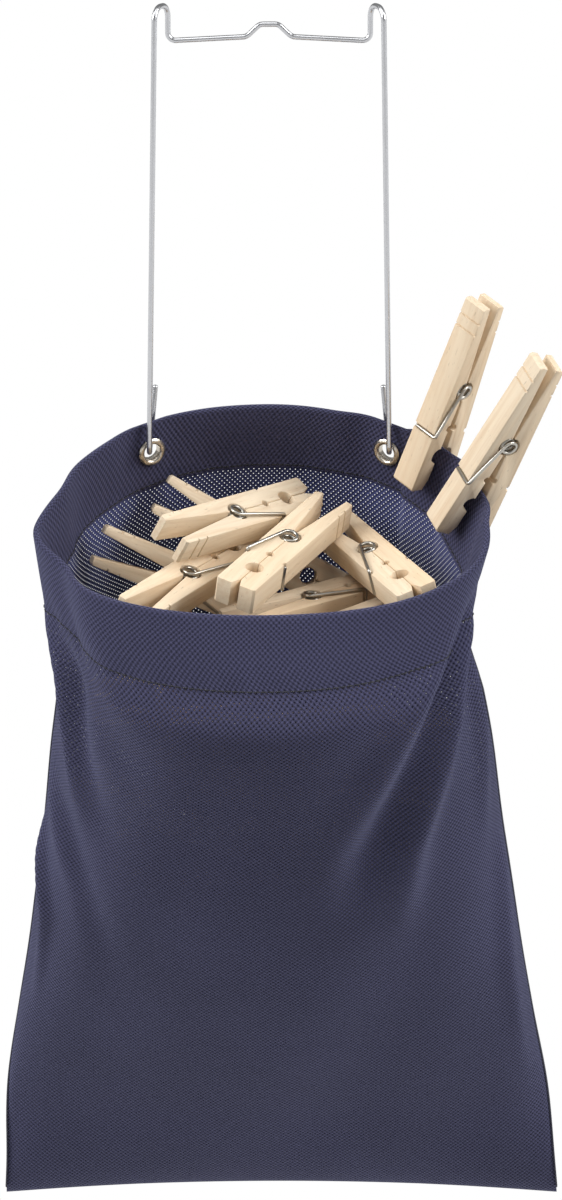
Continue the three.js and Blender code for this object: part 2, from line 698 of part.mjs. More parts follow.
// The wire in each bag hook lies in the upper part of its eyelet. The full bag is heavier in front
// of the eyelets than behind them, so it hangs with its bottom swung back.
const WIRE_IN_EYELET = 0.3;
const SWING = degrees(4.4);
const eyeletMiddle = eyeletPlaces[0].position.clone().lerp(eyeletPlaces[1].position, 0.5);
bag.rotation.x = SWING;
bag.position.set(0, 0, -HANGER_DROP - WIRE_IN_EYELET)
  .sub(point(0, eyeletMiddle.y, eyeletMiddle.z).applyEuler(bag.rotation));

const pegBag = new THREE.Group();
pegBag.add(mesh('hanger_wire', hanger(), steel()), bag);

console.log(`least gap in a spring ${leastGap(springPath(0), SPRING_WIRE).toFixed(2)} mm`);

export default pegBag;
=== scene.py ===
"""Peg bag: makes the cloth, wire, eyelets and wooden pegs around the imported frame."""

import json
import math
import random

import bpy
import numpy as np
from bpy.props import FloatProperty, FloatVectorProperty, IntProperty, PointerProperty
from mathutils import Matrix, Vector

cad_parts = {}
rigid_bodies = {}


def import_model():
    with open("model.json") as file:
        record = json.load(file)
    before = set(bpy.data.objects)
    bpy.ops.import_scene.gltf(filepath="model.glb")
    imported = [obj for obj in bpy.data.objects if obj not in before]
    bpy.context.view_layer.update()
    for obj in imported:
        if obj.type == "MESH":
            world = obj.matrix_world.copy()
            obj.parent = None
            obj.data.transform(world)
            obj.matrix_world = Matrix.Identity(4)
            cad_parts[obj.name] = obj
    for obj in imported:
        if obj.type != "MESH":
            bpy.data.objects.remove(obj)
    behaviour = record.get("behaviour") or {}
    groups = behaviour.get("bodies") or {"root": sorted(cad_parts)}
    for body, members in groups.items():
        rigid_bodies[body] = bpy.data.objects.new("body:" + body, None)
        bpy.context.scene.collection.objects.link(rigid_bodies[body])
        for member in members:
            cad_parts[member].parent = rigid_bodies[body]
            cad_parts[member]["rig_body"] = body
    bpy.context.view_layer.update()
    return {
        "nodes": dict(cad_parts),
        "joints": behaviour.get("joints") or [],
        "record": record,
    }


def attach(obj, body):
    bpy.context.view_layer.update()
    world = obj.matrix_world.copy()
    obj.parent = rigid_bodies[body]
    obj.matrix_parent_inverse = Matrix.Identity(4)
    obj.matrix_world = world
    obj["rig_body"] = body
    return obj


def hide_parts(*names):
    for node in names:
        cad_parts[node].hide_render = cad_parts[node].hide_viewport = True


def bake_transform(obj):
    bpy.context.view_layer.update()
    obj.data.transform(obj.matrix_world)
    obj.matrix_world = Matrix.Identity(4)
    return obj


bl_info = {
    "name": "Peg bag",
    "version": (1, 0, 0),
    "blender": (4, 5, 0),
    "location": "View3D > Sidebar > Peg bag",
    "description": "Makes a hung peg bag of open-weave cloth with its wire hanger and wooden pegs",
    "category": "Add Mesh",
}

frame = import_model()

MM = 0.001
TURN = 2 * math.pi

# Sizes that the frame's solids are made to, in millimetres and degrees
BAG_WIDTH, BAG_LENGTH, HEM_DEPTH, CLOTH = 243.0, 387.0, 29.0, 0.8
MOUTH_TILT, BACK_LEAN, BACK_BOW = 24.5, 9.2, 7.0
FRONT_DRIFT, BOTTOM_DRIFT = -4.0, 5.0
WIRE, HANGER_DROP, EYELET_SPAN, HOOK_SPAN, CROSSBAR_SPAN = 2.2, 178.5, 97.0, 90.0, 80.0
LINE_HOOK_GAP, LINE_HOOK_DEPTH, CROSSBAR_RISE = 11.0, 14.6, 1.6
HUMP_WIDTH, HUMP_HEIGHT, BAG_HOOK_GAP, BAG_HOOK_LEG = 18.0, 5.0, 12.0, 25.0
EYELET_HOLE, EYELET_FLANGE, EYELET_WALL, EYELET_BELOW_RIM = 7.0, 11.8, 0.6, 13.0
PEG_LENGTH, PEG_WIDTH, LEG_THICKNESS, HANDLE_THICKNESS = 84.0, 11.0, 8.5, 3.6
JAW_LENGTH, BAR_FROM_COIL, SPRING_WIRE, COIL_RADIUS, COIL_TURNS = 45.5, 20.0, 1.4, 2.9, 5
CLEARANCE, SWING, WIRE_IN_EYELET = 0.3, 4.4, 0.3
HEAP_LEVEL, HEAP_SLOPE = 61.0, 6.0

HEM_SHARE = HEM_DEPTH / BAG_LENGTH
STACK = 2 * CLOTH + CLEARANCE
HANDLE_LENGTH = PEG_LENGTH - JAW_LENGTH
ARM_OFFSET = PEG_WIDTH / 2 + CLEARANCE + SPRING_WIRE / 2
HANDLE_TAPER = (LEG_THICKNESS - HANDLE_THICKNESS) / HANDLE_LENGTH

# The bag's form from the rim (0) to the bottom seam (1): half its width and its girth as shares of
# the same sizes laid flat, and the share of the mouth's tilt
HALF_WIDTHS = [(0, .353), (.075, .34), (.12, .329), (.2, .345), (.31, .37),
               (.44, .39), (.57, .415), (.7, .447), (.84, .479), (1, .5)]
TILTS = [(0, 1), (.075, .92), (.3, .6), (.6, .3), (1, 0)]
GIRTHS = [(0, .985), (.12, 1), (1, 1)]
# How the mouth departs from an ellipse, and where that has faded out
EGG_SKEW, EGG_BULGE, EGG_FADE = .16, .19, .35
# How the hem tips out at a clipped peg
FLARE_HEIGHTS = [(0, .5), (HEM_SHARE, -.5), (3 * HEM_SHARE, 0)]
# Clipped pegs: gap and flat of the rim in peg widths, depth in jaw lengths, flare in peg lengths
CLIP_KINDS = [
    {"gap": .35, "facet": 1.6, "depth": .42, "flare": .052},
    {"gap": .83, "facet": 2.0, "depth": .5, "flare": .095},
]


def screen_colour(red, green, blue):
    """A colour as seen on a screen, from 0 to 255, as the linear colour that a shader takes."""
    return tuple(((c / 255 + .055) / 1.055) ** 2.4 for c in (red, green, blue))


def toned(colour, factor):
    """A colour made darker or paler."""
    return tuple(min(1, c * factor) for c in colour)


def tinted(colour, factors):
    """A colour with each of its three parts changed by its own factor."""
    return tuple(c * factor for c, factor in zip(colour, factors))


# Settings that a user may change

def length(name, description, default):
    """A setting in metres."""
    return FloatProperty(name=name, description=description, default=default, min=0, unit="LENGTH",
                         subtype="DISTANCE", precision=5)


def colour(name, description, default):
    """A setting with a colour."""
    return FloatVectorProperty(name=name, description=description, default=default, size=3, min=0,
                               max=1, subtype="COLOR")


def share(name, description, default):
    """A setting from 0 to 1."""
    return FloatProperty(name=name, description=description, default=default, min=0, max=1,
                         subtype="FACTOR")


class PegBagCloth(bpy.types.PropertyGroup):
    weave: colour("Cloth", "Colour of the cloth's threads", screen_colour(63, 63, 89))
    # Painted shade: the colour painted into the pores and round them
    shadow: colour("Pores", "Colour deep in the pores of a doubled cloth",
                   screen_colour(22, 22, 32))
    thread: colour("Thread", "Colour of the sewing thread", screen_colour(16, 16, 24))
    binding: colour("Seam binding", "Colour of the tape on the side seams",
                    screen_colour(44, 44, 60))
    pore_across: length("Pore pitch across", "From pore to pore along a weft thread", .0021)
    pore_down: length("Pore pitch down", "From pore to pore along a warp thread", .0023)
    fold_depth: length("Fold depth", "Depth of the deepest fold under the rim", .009)
    rim_radius: length("Rim radius", "Radius of the rolled edge of the rim", .0014)
    stitch: length("Stitch", "Length of one stitch of the hem", .0028)


class PegBagMetal(bpy.types.PropertyGroup):
    steel: colour("Hanger", "Colour of the hanger's drawn wire", screen_colour(206, 207, 210))
    spring: colour("Springs", "Colour of the pegs' spring wire", screen_colour(186, 182, 174))
    nickel: colour("Eyelets", "Colour of the plated eyelets", screen_colour(206, 198, 186))
    wire: length("Hanger wire", "Diameter of the hanger's wire", WIRE * MM)
    spring_wire: length("Spring wire", "Diameter of a peg's spring wire", SPRING_WIRE * MM)


class PegBagWood(bpy.types.PropertyGroup):
    pale: colour("Pale wood", "Colour of the wood between its grain", screen_colour(235, 219, 194))
    grain: colour("Grain", "Colour of the wood's grain lines", screen_colour(211, 181, 146))
    rounding: length("Edge rounding", "Width of the worn edges of a peg", .00045)
    heap_seed: IntProperty(name="Heap order", description="Chooses how the heap's pegs lie",
                           default=4)


class PegBagStage(bpy.types.PropertyGroup):
    floor: colour("Floor", "Colour of the plain floor", (.86, .86, .86))
    key: FloatProperty(name="Side light", description="Power of each soft side light", default=27,
                       min=0, unit="POWER")
    top: FloatProperty(name="Top light", description="Power of the soft light above", default=12,
                       min=0, unit="POWER")
    sky: share("Room light", "Strength of the even light all round", .27)


class PegBagSettings(bpy.types.PropertyGroup):
    cloth: PointerProperty(type=PegBagCloth)
    metal: PointerProperty(type=PegBagMetal)
    wood: PointerProperty(type=PegBagWood)
    stage: PointerProperty(type=PegBagStage)


# Finishes

class Term:
    """An output in a material's nodes, with the arithmetic of plain numbers."""

    def __init__(self, finish, socket):
        self.finish = finish
        self.socket = socket

    def math(self, operation, *values):
        """The output of a Math node."""
        return self.finish.node("ShaderNodeMath", {"operation": operation}, dict(enumerate(values)))

    def __add__(self, other):
        return self.math("ADD", self, other)

    def __sub__(self, other):
        return self.math("SUBTRACT", self, other)

    def __rsub__(self, other):
        return self.math("SUBTRACT", other, self)

    def __mul__(self, other):
        return self.math("MULTIPLY", self, other)

    def __lt__(self, other):
        return self.math("LESS_THAN", self, other)

    __radd__ = __add__
    __rmul__ = __mul__

    def cosine(self):
        return self.math("COSINE", self)

    def size(self):
        return self.math("ABSOLUTE", self)

    def held(self):
        """The value kept between 0 and 1."""
        return self.finish.node("ShaderNodeClamp", {}, {"Value": self})


class Finish:
    """A new material whose main shader's constant sockets are given by name."""

    def __init__(self, name, **constants):
        self.material = bpy.data.materials.new(name)
        self.material.use_nodes = True
        self.tree = self.material.node_tree
        self.shader = self.tree.nodes["Principled BSDF"]
        for socket, value in constants.items():
            self.set(socket.replace("_", " "), value)

    def feed(self, target, value):
        """Links an expression to a socket, or gives the socket a value of its own."""
        if isinstance(value, Term):
            self.tree.links.new(value.socket, target)
        elif target.type == "RGBA":
            target.default_value = (*value, 1)
        else:
            target.default_value = value

    def set(self, socket, value):
        """Feeds a socket of the main shader."""
        self.feed(self.shader.inputs[socket], value)

    def node(self, kind, settings, sockets, out=0):
        """An output of a new node, with its settings made first and then its sockets."""
        made = self.tree.nodes.new(kind)
        for name, value in settings.items():
            setattr(made, name, value)
        for name, value in sockets.items():
            self.feed(made.inputs[name], value)
        return Term(self, made.outputs[out])

    def mix(self, factor, first, second):
        """A colour between two."""
        return self.node("ShaderNodeMix", {"data_type": "RGBA"},
                         {0: factor, 6: first, 7: second}, out=2)

    def noise(self, place, scale, detail=2.0, roughness=.5):
        """Uneven values from 0 to 1."""
        return self.node("ShaderNodeTexNoise", {}, {"Vector": place, "Scale": scale,
                                                    "Detail": detail, "Roughness": roughness})

    def streaks(self, place, factors, detail=2.0, roughness=.5):
        """Uneven values with their own fineness along each axis."""
        stretched = self.node("ShaderNodeVectorMath", {"operation": "MULTIPLY"},
                              {0: place, 1: factors})
        return self.noise(stretched, 1, detail, roughness)

    def bump(self, height, distance, strength=1.0):
        """Fine relief that is too small for the mesh."""
        self.set("Normal", self.node("ShaderNodeBump", {}, {
            "Strength": strength, "Distance": distance, "Height": height}))


def flat_places(finish):
    """The cloth's own places, in metres across and up the flat cut."""
    place = finish.node("ShaderNodeUVMap", {"uv_map": "flat_cut"}, {})
    across = finish.node("ShaderNodeSeparateXYZ", {}, {0: place}, out=0)
    up = finish.node("ShaderNodeSeparateXYZ", {}, {0: place}, out=1)
    return place, across, up


def waves(place, pitch):
    """Even waves from -1 to 1."""
    return (place * (TURN / pitch)).cosine()


def cloth_finish(cloth):
    """Open-weave cloth: see-through pores where it is single and pores painted dark in the doubled
    hem, with painted shade round the pores, painted highlights on the thread crossings, and inner
    faces painted lighter and bluer as light shining through.
    """
    finish = Finish("open_weave_cloth", Sheen_Weight=.3, Sheen_Roughness=.45,
                    Sheen_Tint=screen_colour(170, 175, 215), Specular_IOR_Level=.22)
    place, across, up = flat_places(finish)
    lattice = waves(across, cloth.pore_across) * waves(up, cloth.pore_down)
    pore = ((lattice - .74) * 5).held()
    # Painted shade: the colour darkens round each pore, where shade would fall
    pore_shade = ((lattice - .15) * 1.5).held()
    # Painted highlight: the raised thread crossings are painted lighter
    crossing = ((0 - lattice) * 1.3 - .1).held()
    single = up < (BAG_LENGTH - HEM_DEPTH) * MM
    stretched_open = ((up - .2) * 12).held() * .8 + .2
    finish.set("Alpha", 1 - pore * single * stretched_open)
    patches = finish.noise(place, 14, 3)
    yarn = finish.streaks(place, (420, 1600, 1))
    tone = (patches * 1.1 + yarn * .6 - .35).held()
    threads = finish.mix(tone, toned(cloth.weave, .72), toned(cloth.weave, 1.26))
    # Painted highlight on the thread crossings
    highlit_threads = finish.mix(crossing * .45, threads, toned(cloth.weave, 1.9))
    # Painted shade mixed into the pores and round them, in the cloth's pore colour
    hollow = finish.mix(pore_shade * .68, highlit_threads, cloth.shadow)
    # Painted light: inner faces are painted lighter and bluer, as light shining through the cloth,
    # less so round the pores
    inner_face = finish.node("ShaderNodeNewGeometry", {}, {}, out="Backfacing")
    blue_light = tinted(cloth.weave, (1.25, 1.5, 2.1))
    lit_through = finish.mix(pore_shade * .3, blue_light, cloth.weave)
    finish.set("Base Color", finish.mix(inner_face * .8, hollow, lit_through))
    finish.set("Roughness", .78 + yarn * .16)
    finish.bump(1 - lattice * .5 + yarn * .35, .00045, 1.0)
    return finish.material


def tape_finish(cloth):
    """Ribbed tape over the side seams, with a row of stitches along it."""
    finish = Finish("seam_tape", Sheen_Weight=.2, Sheen_Roughness=.5, Specular_IOR_Level=.2)
    place, across, up = flat_places(finish)
    ribs = waves(up, .0009)
    middle = across.size() < .00035
    sewn = middle * ((waves(up, cloth.stitch) + .5) * 4).held()
    wear = finish.noise(place, 60, 3)
    tone = finish.mix(wear, toned(cloth.binding, .75), toned(cloth.binding, 1.35))
    finish.set("Base Color", finish.mix(sewn, tone, cloth.thread))
    finish.set("Roughness", .74 + wear * .2)
    finish.bump(ribs * .4 + sewn, .0002, .8)
    return finish.material


def thread_finish(cloth):
    """Twisted sewing thread."""
    finish = Finish("sewing_thread", Sheen_Weight=.3, Specular_IOR_Level=.3)
    _, across, up = flat_places(finish)
    twist = (across * 9000 + up * 5200).cosine()
    tone = (twist * .5 + .5).held()
    finish.set("Base Color", finish.mix(tone, toned(cloth.thread, .7), toned(cloth.thread, 1.7)))
    finish.set("Roughness", .62 + tone * .2)
    finish.bump(twist, .00008, .7)
    return finish.material


def wire_finish(name, tint, roughness):
    """Drawn metal wire: fine lines along it, dull patches and small dark marks."""
    finish = Finish(name, Metallic=1.0)
    place = flat_places(finish)[0]
    lines = finish.streaks(place, (60, 5200, 1), 3, .6)
    patches = finish.streaks(place, (90, 160, 1), 3)
    marks = ((finish.streaks(place, (700, 900, 1)) - .66) * 7).held()
    tone = finish.mix((patches * .6 + lines * .4).held(), toned(tint, .8), toned(tint, 1.16))
    finish.set("Base Color", finish.mix(marks * .55, tone, toned(tint, .4)))
    finish.set("Roughness", roughness + patches * .16 + marks * .2)
    finish.bump(lines, .00006, .6)
    return finish.material


def nickel_finish(metal):
    """Bright plating with rubbed rings."""
    finish = Finish("eyelet_nickel", Metallic=1.0)
    place = flat_places(finish)[0]
    rings = finish.streaks(place, (40, 3600, 1), 3)
    patches = finish.streaks(place, (220, 300, 1), 3)
    finish.set("Base Color", finish.mix(patches, toned(metal.nickel, .72),
                                        toned(metal.nickel, 1.22)))
    finish.set("Roughness", .16 + patches * .2)
    finish.bump(rings, .00005, .5)
    return finish.material


def wood_finish(wood):
    """Pale close-grained wood: the grain runs along each leg, and each has its own piece of it."""
    finish = Finish("peg_wood", Specular_IOR_Level=.32)
    place = finish.node("ShaderNodeAttribute", {"attribute_name": "grain"}, {}, out=1)
    bent = finish.streaks(place, (90, 22, 90))
    sway = finish.node("ShaderNodeCombineXYZ", {}, {"X": bent * .0016, "Z": bent * .0012})
    drawn_out = finish.node("ShaderNodeVectorMath", {"operation": "MULTIPLY_ADD"},
                            {0: place, 1: (1, .055, 1), 2: sway})
    rings = finish.noise(drawn_out, 520, 3, .55)
    fibres = finish.streaks(place, (2600, 150, 2600), 2, .6)
    pores = ((finish.streaks(place, (1500, 260, 1500), 1) - .69) * 9).held()
    leg_tone = finish.streaks(place, (3, 3, 3), 0)
    lines = ((rings - .42) * 2.4).held()
    plain = finish.mix((lines * .62 + fibres * .22).held(), wood.pale, wood.grain)
    warm = finish.mix(((leg_tone - .42) * 2.2).held() * .5, plain,
                      tinted(wood.pale, (.93, .78, .62)))
    finish.set("Base Color", finish.mix(pores * .5, warm, toned(wood.grain, .45)))
    finish.set("Roughness", .52 + fibres * .22 + lines * .1)
    finish.bump(fibres * .5 + lines * .3 - pores * .8, .00012, .5)
    return finish.material


# Curves and meshes

def along_stops(stops, place):
    """A smooth curve through (place, value) stops."""
    xs, ys = np.array(stops, float).T
    last = len(xs) - 1
    before = np.maximum(np.arange(last + 1) - 1, 0)
    after = np.minimum(np.arange(last + 1) + 1, last)
    slopes = (ys[after] - ys[before]) / (xs[after] - xs[before])
    i = np.clip(np.searchsorted(xs, place), 1, last)
    span = xs[i] - xs[i - 1]
    t = (place - xs[i - 1]) / span
    s = 1 - t
    return (ys[i - 1] * s * s * (1 + 2 * t) + ys[i] * t * t * (3 - 2 * t)
            + span * t * s * (slopes[i - 1] * s - slopes[i] * t))


def eased(value, low, high):
    """0 below low, 1 above high and a smooth step between them."""
    t = np.clip((np.asarray(value, float) - low) / (high - low), 0, 1)
    return t * t * (3 - 2 * t)


def unit(vectors):
    """Vectors made one long."""
    return vectors / np.linalg.norm(vectors, axis=-1, keepdims=True)


def run_along(points):
    """How far along a path each of its points lies."""
    return np.concatenate([[0], np.cumsum(np.linalg.norm(np.diff(points, axis=0), axis=1))])


def rounded_path(corners, step=8.0):
    """A path through (point, radius) corners, each but the ends rounded to its radius."""
    path = [corners[0][0]]
    for (before, _), (at, radius), (after, _) in zip(corners, corners[1:], corners[2:]):
        back = (before - at).normalized()
        on = (after - at).normalized()
        inside = back.angle(on)
        turn = math.pi - inside
        centre = at + (back + on).normalized() * (radius / math.sin(inside / 2))
        start = at + back * (radius / math.tan(inside / 2)) - centre
        axis = on.cross(back).normalized()
        steps = max(2, math.ceil(math.degrees(turn) / step))
        for k in range(steps + 1):
            path.append(centre + Matrix.Rotation(turn * k / steps, 3, axis) @ start)
    path.append(corners[-1][0])
    return path


# A wire's domed end: the angles of its rings, and its height in wire radii
DOME_ANGLES, DOME_HEIGHT = [math.pi / 2 * k / 3.35 for k in (1, 2, 3)], .7


def dome(end, before, radius):
    """Centre and radius of each ring of a wire's domed end, from the wire outwards."""
    out = unit(end - before)
    return [(end + out * radius * DOME_HEIGHT * math.sin(angle), radius * math.cos(angle))
            for angle in DOME_ANGLES]


def tube(path, radius, sides):
    """Points, faces and flat places of a round wire along a path, with domed ends."""
    points = [np.array(p, float) for p in path]
    stations = dome(points[0], points[1], radius)[::-1]
    stations += [(point, radius) for point in points]
    stations += dome(points[-1], points[-2], radius)
    centres = np.array([centre for centre, _ in stations])
    ahead = np.vstack([centres[1:], centres[-1:]])
    behind = np.vstack([centres[:1], centres[:-1]])
    tangents = unit(ahead - behind)
    side = np.array((1.0, 0, 0)) if abs(tangents[0][0]) < .8 else np.array((0, 1.0, 0))
    turns = TURN * np.arange(sides) / sides
    rings = []
    for (centre, r), tangent in zip(stations, tangents):
        side = unit(side - tangent * side.dot(tangent))
        up = np.cross(tangent, side)
        rings.append(centre + r * (np.cos(turns)[:, None] * side + np.sin(turns)[:, None] * up))
    return loft(np.array(rings), run_along(centres), np.arange(sides + 1) / sides * TURN * radius)


def quads(rows, count, place):
    """Faces between matching rings, with the place of each corner by its ring and its number."""
    faces, places = [], []
    for i in range(rows - 1):
        for j in range(count):
            k = (j + 1) % count
            faces.append((i * count + j, i * count + k, (i + 1) * count + k, (i + 1) * count + j))
            places += [place(i, j), place(i, j + 1), place(i + 1, j + 1), place(i + 1, j)]
    return faces, places


def loft(rings, run, girth):
    """A closed skin over matching rings: points, faces and a place on the flat for each corner."""
    rows, count = rings.shape[:2]
    faces, places = quads(rows, count, lambda i, j: (run[i], girth[j]))
    for base, row, order in ((0, 0, -1), ((rows - 1) * count, rows - 1, 1)):
        ring = list(range(count))[::order]
        faces.append(tuple(base + j for j in ring))
        places += [(run[row], girth[j]) for j in ring]
    return rings.reshape(-1, 3), faces, places


def joined(parts):
    """One set of points, faces and places out of several."""
    points, faces, places, start = [], [], [], 0
    for part_points, part_faces, part_places in parts:
        points.append(part_points)
        faces += [tuple(start + i for i in face) for face in part_faces]
        places += part_places
        start += len(part_points)
    return np.vstack(points), faces, places


def placed(points, matrix):
    """Points moved by a 4 by 4 matrix."""
    rotation = np.array(matrix.to_3x3())
    return np.asarray(points) @ rotation.T + np.array(matrix.translation)


def piece(name, shape, finish, place=Matrix(), smooth_below=40.0):
    """A new object of a shape in millimetres, smooth where faces meet at less than an angle."""
    points, faces, places = shape
    mesh = bpy.data.meshes.new(name)
    mesh.from_pydata([tuple(p) for p in placed(points, place) * MM], [], faces)
    flat = mesh.uv_layers.new(name="flat_cut")
    flat.data.foreach_set("uv", (np.array(places, float) * MM).ravel())
    mesh.polygons.foreach_set("use_smooth", [True] * len(mesh.polygons))
    mesh.set_sharp_from_angle(angle=math.radians(smooth_below))
    mesh.materials.append(finish)
    mesh.validate()
    made = bpy.data.objects.new(name, mesh)
    bpy.context.scene.collection.objects.link(made)
    return made


# The bag's surface. v runs from the rim (0) to the bottom seam (1), and turn runs round the mouth
# from the right seam (0) by the back (a quarter) and the left seam (a half) to the front.
# Millimetres, in the bag's own frame with its origin at the middle of the back rim.

HALVINGS = 40


def matched(*values):
    """Numbers or arrays as arrays of one shape."""
    return np.broadcast_arrays(*(np.asarray(value, float) for value in values))


def wrapped(turn):
    """A turn between minus and plus a half."""
    return np.arctan2(np.sin(turn), np.cos(turn))


def section(turn, v, across, deep):
    """The bag's section, as points across and back from its middle."""
    egg = eased(EGG_FADE - v, 0, EGG_FADE)
    s = np.sin(turn)
    wide = 1 - egg * (EGG_SKEW * s - EGG_BULGE * s * s)
    return across * np.cos(turn) * wide, deep * s


def half_depths(v):
    """Half the depth that keeps the cloth's girth at each height, found by halving."""
    wanted = 2 * BAG_WIDTH * along_stops(GIRTHS, v)
    across = BAG_WIDTH * along_stops(HALF_WIDTHS, v)
    low = np.full_like(v, CLOTH + CLEARANCE)
    high = np.full_like(v, BAG_WIDTH / 2)
    turns = np.linspace(0, TURN, 97)[:, None]
    for _ in range(HALVINGS):
        middle = (low + high) / 2
        x, y = section(turns, v, across, middle)
        round_it = np.hypot(np.diff(x, axis=0), np.diff(y, axis=0)).sum(0)
        high = np.where(round_it > wanted, middle, high)
        low = np.where(round_it > wanted, low, middle)
    return low


HEIGHTS = np.linspace(0, 1, 801)
DEPTHS = half_depths(HEIGHTS)


def cloth_point(turn, v, inset):
    """Points of the cloth as it hangs from the hanger alone."""
    turn, v, inset = matched(turn, v, inset)
    deep = np.interp(v, HEIGHTS, DEPTHS)
    x, q = section(turn, v, BAG_WIDTH * along_stops(HALF_WIDTHS, v) - inset, deep - inset)
    lean = math.radians(BACK_LEAN)
    tilt = math.radians(MOUTH_TILT) * along_stops(TILTS, v)
    drift = FRONT_DRIFT * (1 - np.sin(turn)) / 2 * (1 - v) + BOTTOM_DRIFT * v
    reach = q - deep
    back = BAG_LENGTH * v * math.sin(lean) + BACK_BOW * np.sin(np.pi * v)
    return np.stack([x + drift, back + reach * np.cos(tilt),
                     reach * np.sin(tilt) - BAG_LENGTH * v * math.cos(lean)], axis=-1)


def turn_at_x(x, v):
    """The turn at which the back cloth is at x."""
    start, end = 0.0, math.pi
    for _ in range(HALVINGS):
        middle = (start + end) / 2
        if cloth_point(middle, v, 0)[0] > x:
            start = middle
        else:
            end = middle
    return start


def facet_span(turn, width):
    """The two turns that are a width apart on the rim, about a middle turn."""
    nudge = .01
    step = np.linalg.norm(cloth_point(turn + nudge, 0, 0) - cloth_point(turn - nudge, 0, 0))
    half = width * nudge / step
    return turn - half, turn + half


EYELET_TURNS = [turn_at_x(side * EYELET_SPAN / 2, EYELET_BELOW_RIM / BAG_LENGTH)
                for side in (1, -1)]
EYELET_FACET = EYELET_FLANGE + 10 * CLEARANCE
EYELET_EDGE = facet_span(EYELET_TURNS[0], EYELET_FACET)[0]


def clip_places():
    """The middle turn, facet width and flare of each clipped peg's place on the rim."""
    edge, places = EYELET_EDGE, []
    for kind in CLIP_KINDS:
        facet = kind["facet"] * PEG_WIDTH
        turn = facet_span(edge, facet + 2 * kind["gap"] * PEG_WIDTH)[0]
        edge = facet_span(turn, facet)[0]
        places.append((turn, facet, kind["flare"] * PEG_LENGTH))
    return places


CLIPS = clip_places()
FLARES = [(-EYELET_EDGE, 0)]
for clip_turn, clip_facet, clip_flare in reversed(CLIPS):
    FLARES += [(end, clip_flare) for end in facet_span(clip_turn, clip_facet + CLEARANCE)]
FLARES.append((EYELET_EDGE, 0))
FACETS = [facet_span(turn, EYELET_FACET) for turn in EYELET_TURNS]
FACETS += [facet_span(turn, facet) for turn, facet, _ in CLIPS]


def bag_point(turn, v, inset=0.0):
    """Points of the cloth, its hem tipped out by clipped pegs and flat at pegs and eyelets."""
    turn, v, inset = matched(turn, v, inset)
    around = wrapped(turn)
    stops, flares = np.array(FLARES).T
    i = np.clip(np.searchsorted(stops, around), 1, len(stops) - 1)
    t = eased(around, stops[i - 1], stops[i])
    flare = flares[i - 1] * (1 - t) + flares[i] * t
    heights, factors = np.array(FLARE_HEIGHTS).T
    lean = flare * np.interp(v, heights, factors)
    points = cloth_point(turn, v, inset - lean)
    level = 1 - eased(v, HEM_SHARE, 3 * HEM_SHARE)
    for low, high in FACETS:
        t = (around - low) / (high - low)
        inside = (t > 0) & (t < 1) & (level > 0)
        if inside.any():
            ends = [cloth_point(np.full_like(turn, end), v, inset - lean) for end in (low, high)]
            chord = ends[0] * (1 - t)[..., None] + ends[1] * t[..., None]
            flat = points + (chord - points) * level[..., None]
            points = np.where(inside[..., None], flat, points)
    return points


def facet_frame(turn, width):
    """Middle of a flat facet at the rim, and its directions down and outwards."""
    low, high = facet_span(turn, width)
    a, b, c, d = (Vector(bag_point(end, v)) for v in (0, HEM_SHARE) for end in (low, high))
    rim = (a + b) / 2
    down = ((c + d) / 2 - rim).normalized()
    outward = (b - a + d - c).normalized().cross(down).normalized()
    if outward.dot(rim - Vector(bag_point(turn + math.pi, 0))) < 0:
        outward.negate()
    return rim, down, outward


def eyelet_place(turn):
    """The matrix that stands an eyelet's axis (local Y) on the cloth."""
    rim, down, outward = facet_frame(turn, EYELET_FACET)
    stand = Vector((0, 1, 0)).rotation_difference(outward).to_matrix().to_4x4()
    return Matrix.Translation(rim + down * EYELET_BELOW_RIM) @ stand


def bag_place():
    """The matrix from the bag's own frame to the frame that all bodies share, in millimetres."""
    swing = Matrix.Rotation(math.radians(SWING), 4, "X")
    middle = sum((eyelet_place(turn).translation for turn in EYELET_TURNS), Vector()) / 2
    seat = Vector((0, 0, -HANGER_DROP - WIRE_IN_EYELET))
    return Matrix.Translation(seat - swing.to_3x3() @ Vector((0, middle.y, middle.z))) @ swing


BAG_PLACE = bag_place()


# Cloth

# The cloth's grid, with more rows beside the hem's stitches
COLUMNS, OUTER_ROWS, RIM_ROWS, FACING_ROWS = 288, 190, 7, 26
STITCH_LINE_ROWS = np.array([-.006, -.003, .003, .006])
# How far the bottom's corners hang and its middle rises, the thickness of the hem's inner edge, and
# the rim's radius where a peg or an eyelet holds it
BOTTOM_CURVE, HEM_EDGE, HELD_RIM = 3.0, 1.1, .46 * STACK

# Swellings of the cloth as (seed, humps round the bag, rise down it, depth), the puckers along the
# hem's stitches of the same kind, how far they reach and how far the stitches pull the cloth in
SWELLS = [(3, (2, 5), (3, 9), 1.1), (5, (6, 13), (5, 20), .62)]
PUCKER, PUCKER_REACH, PUCKER_SINK = (11, (28, 52), (0, 9), .3), 4.5, .45
